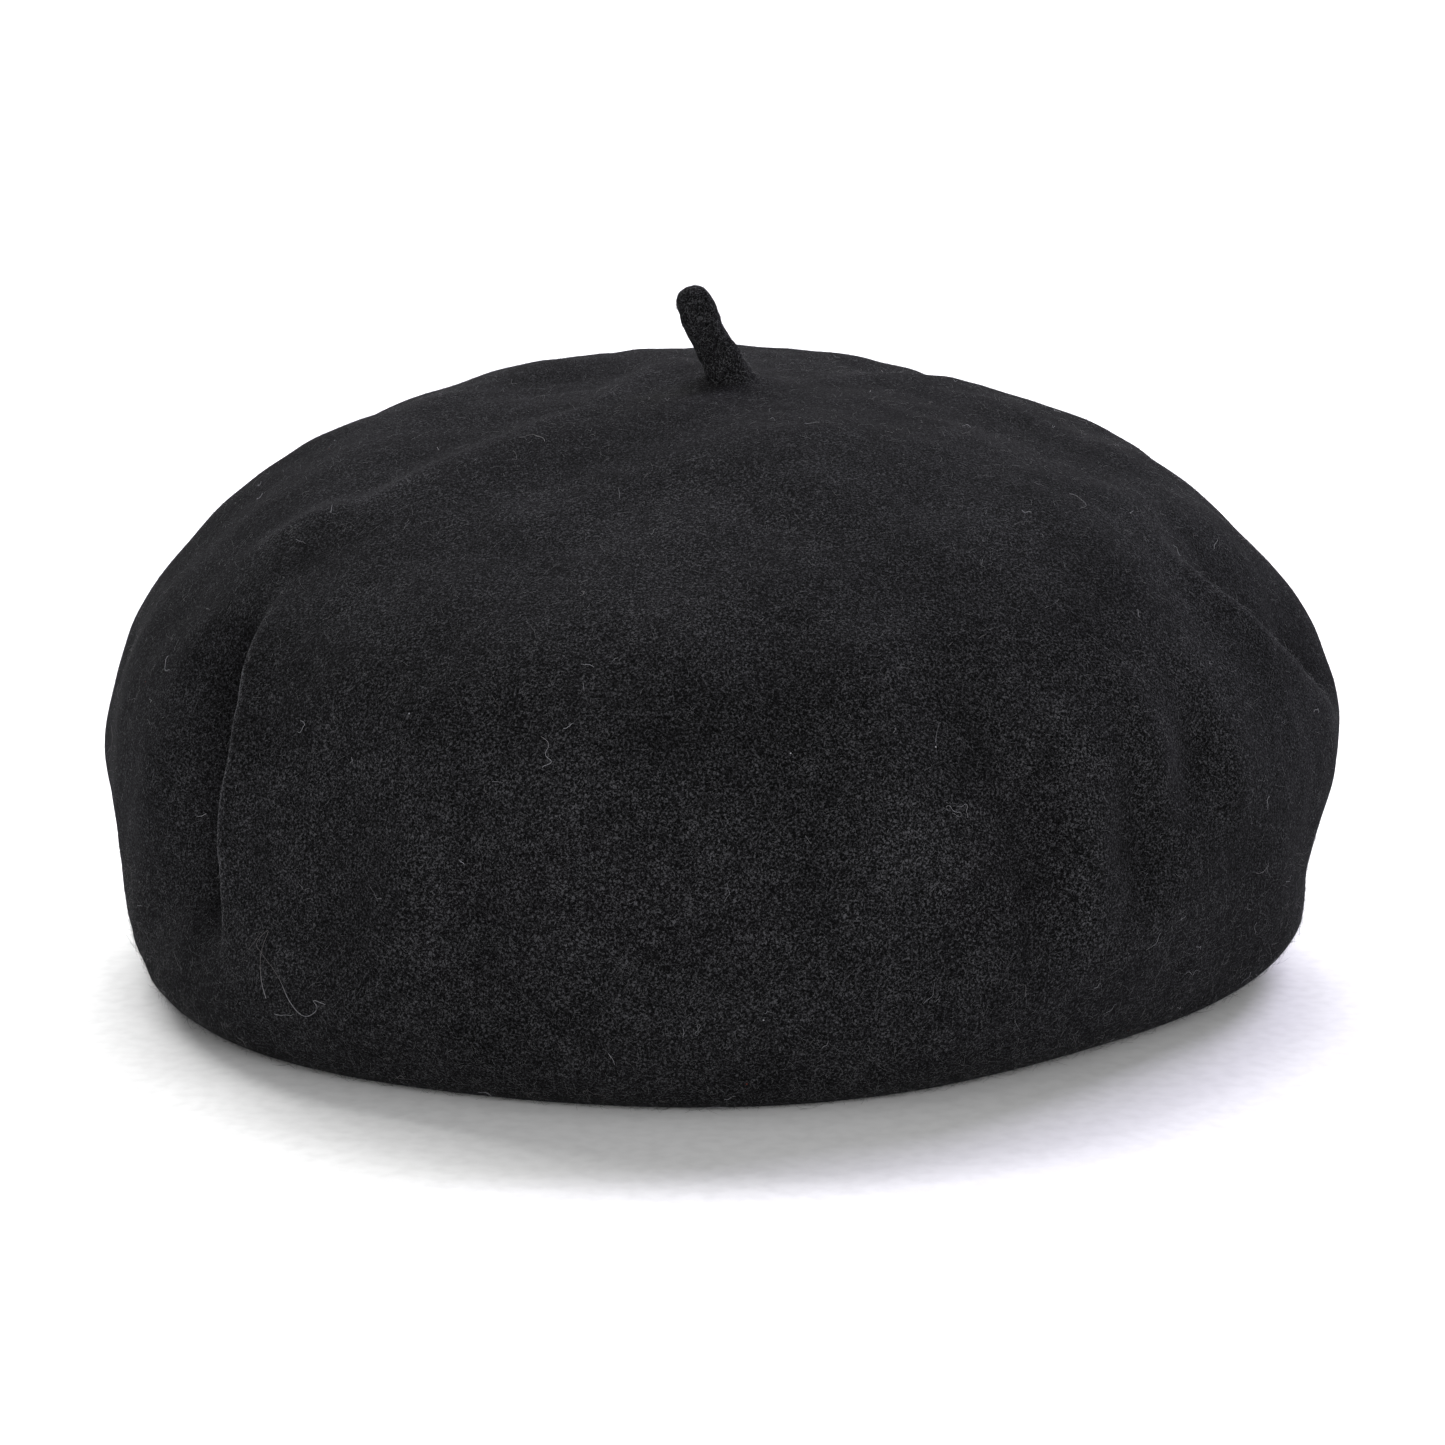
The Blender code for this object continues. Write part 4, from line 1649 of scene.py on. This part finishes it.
@dataclass
class CareLabel:
    """A blank folded care label, sewn to the sweatband's inner side by its top edge."""

    band: Sweatband
    tape: float = 0.24 * MM
    rows: int = 60
    columns: int = 30
    stitches: int = 8
    thread: float = 0.14 * MM

    def build(self) -> None:
        """Make the label and its stitches."""
        low, high = corners("care_label")
        half = (high[1] - low[1]) / 2
        hang = (low[0] + high[0]) / 2
        sewn = high[2] + 0.9 * MM
        length = sewn - low[2]
        t, w = tape_grid(self.rows, self.columns)
        fold = np.minimum(t, 1 - t) * 2
        layer = np.tanh((0.5 - t) * 26)  # 1 on the front layer, -1 on the back one
        z = low[2] + self.tape + (sewn - low[2] - self.tape) * (1 - fold)
        y = w * half * (1 - 0.004 * np.cos(3 * w))
        seat = -np.sqrt(self.band_inner(y) ** 2 - y**2)
        free = eased(sewn - z, 0.3 * MM, 3.2 * MM)
        lie = seat + 0.26 * MM + 0.13 * MM * (1 + layer)
        bulge = 0.13 * MM + 0.12 * MM * eased(fold, 0.5, 0.95)
        curl = 0.25 * MM * w**2 * eased(fold, 0.4, 1.0)
        x = lie * (1 - free) + (hang + bulge * layer + curl) * free
        middle = np.stack([x, y, z], -1)
        cloth = np.stack([w * half / MM, t * 2 * length / MM], -1)
        label = thick_sheet("care_label_tape", middle, self.tape, False, uv=cloth)
        dress(label, LabelTape(), None, "care_label")
        start = (float(-self.band_inner(np.zeros(1))[0]), 0, sewn + 0.2 * MM)
        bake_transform(label)
        self.stitching(half, sewn)

    def band_inner(self, y: Array) -> Array:
        """Radius of the band's inner side behind each point across the label."""
        azimuth = -math.pi / 2 + y / self.band.inner
        height = np.full_like(y, self.band.high - 2 * MM)
        return self.band.middle_radius(height, azimuth) - self.band.leather / 2

    def stitching(self, half: float, sewn: float) -> None:
        """The row of stitches through the label's top edge.

        Args:
            half: half the label's width.
            sewn: height of its sewn edge.
        """

        def place(along: Array, above: Array) -> Array:
            """Points along the row, this far in front of the tape."""
            y = (along - 0.5) * 2 * half * 0.94
            x = -np.sqrt(self.band_inner(y) ** 2 - y**2) + 0.82 * MM + above
            return np.stack([x, y, np.full(len(along), sewn - 0.35 * MM)], -1)

        sew("care_label_stitches", place, self.stitches, 0.2 * MM, self.thread)


@dataclass
class Studio:
    """Plain paper floor, soft lights and the camera."""

    paper: float = 9.0  # half the side of the floor's sheet
    distance: float = 0.8
    elevation: float = math.radians(12.05)
    lens: float = 108.9
    aim: Triple = (0.0, 0.0, 43.15 * MM)
    tent_side: float = 0.34  # brightness of the tent above its bright band at the floor's level
    tent_top: float = 0.3  # and overhead
    bank_spread: float = math.radians(28)
    left_bank: Triple = (-0.6, 0.9, 1.05)
    back_bank: Triple = (0.0, 1.0, 1.2)
    right_bank: Triple = (0.65, 0.9, 1.05)
    left_power: float = 2.04
    right_power: float = 2.4
    back_power: float = 2.4
    fill_place: Triple = (0.25, -1.3, 0.33)
    fill_size: float = 0.8
    fill_power: float = 12.5

    def build(self) -> None:
        """Make the floor, the lights, the surroundings and the camera."""
        self.floor()
        self.lights()
        self.camera()

    def floor(self) -> None:
        """A wide sheet of pale paper."""
        square = np.array([(-1, -1, 0), (1, -1, 0), (1, 1, 0), (-1, 1, 0)], float)
        square = square * self.paper - [0, 0, 0.05 * MM]
        sheet = new_piece("paper_floor", square, [(0, 1, 2, 3)])
        sheet.data.materials.append(SeamlessPaper().material())

    def lights(self) -> None:
        """A white tent, three broad banks behind the hat, and a low fill from the front."""
        for name, kind, size, power, place, tone in (
            ("left_bank", "SUN", self.bank_spread, self.left_power, self.left_bank, "#ffffff"),
            ("back_bank", "SUN", self.bank_spread, self.back_power, self.back_bank, "#ffffff"),
            ("right_bank", "SUN", self.bank_spread, self.right_power, self.right_bank, "#ece7ff"),
            ("front_fill", "AREA", self.fill_size, self.fill_power, self.fill_place, "#ffffff"),
        ):
            lamp = bpy.data.lights.new(name, kind)
            setattr(lamp, "angle" if kind == "SUN" else "size", size)
            lamp.energy = power
            lamp.color = linear(tone)[:3]
            light = bpy.data.objects.new(name, lamp)
            light.location = place
            aim = Vector(self.aim) - Vector(place)
            light.rotation_euler = aim.to_track_quat("-Z", "Y").to_euler()
            bpy.context.scene.collection.objects.link(light)
        world = bpy.data.worlds.new("white_tent")
        world.use_nodes = True
        tree = world.node_tree
        way = add_node(tree, "SeparateXYZ", {"Vector": add_node(tree, "TexCoord", {})})
        tent = [(0.0, 1.0), (0.14, 1.0), (0.3, self.tent_side), (1.0, self.tent_top)]
        glow = add_node(tree, "ValToRGB", {"Fac": way.outputs["Z"]}, tent)
        feed(tree.nodes["Background"], {"Color": glow})
        bpy.context.scene.world = world
        bpy.context.scene.view_settings.view_transform = "Standard"

    def camera(self) -> None:
        """A long lens a little above the hat, from the front."""
        view = bpy.data.cameras.new("front_camera")
        view.lens = self.lens
        view.sensor_width = 36.0
        camera = bpy.data.objects.new("front_camera", view)
        aim = Vector(self.aim)
        away = Vector((0, -math.cos(self.elevation), math.sin(self.elevation)))
        camera.location = aim + away * self.distance
        camera.rotation_euler = (-away).to_track_quat("-Z", "Y").to_euler()
        bpy.context.scene.collection.objects.link(camera)
        bpy.context.scene.camera = camera


def main() -> None:
    """Build the looks, sub-assembly by sub-assembly."""
    logging.basicConfig(level=logging.INFO, format="%(name)s %(message)s")
    Studio().build()
    form = FeltForm()
    FeltCrown(form).build()
    Stalk(form).build()
    SatinLining(form).build()
    band = Sweatband(form)
    band.build()
    CareLabel(band).build()


if __name__ == "__main__":
    main()
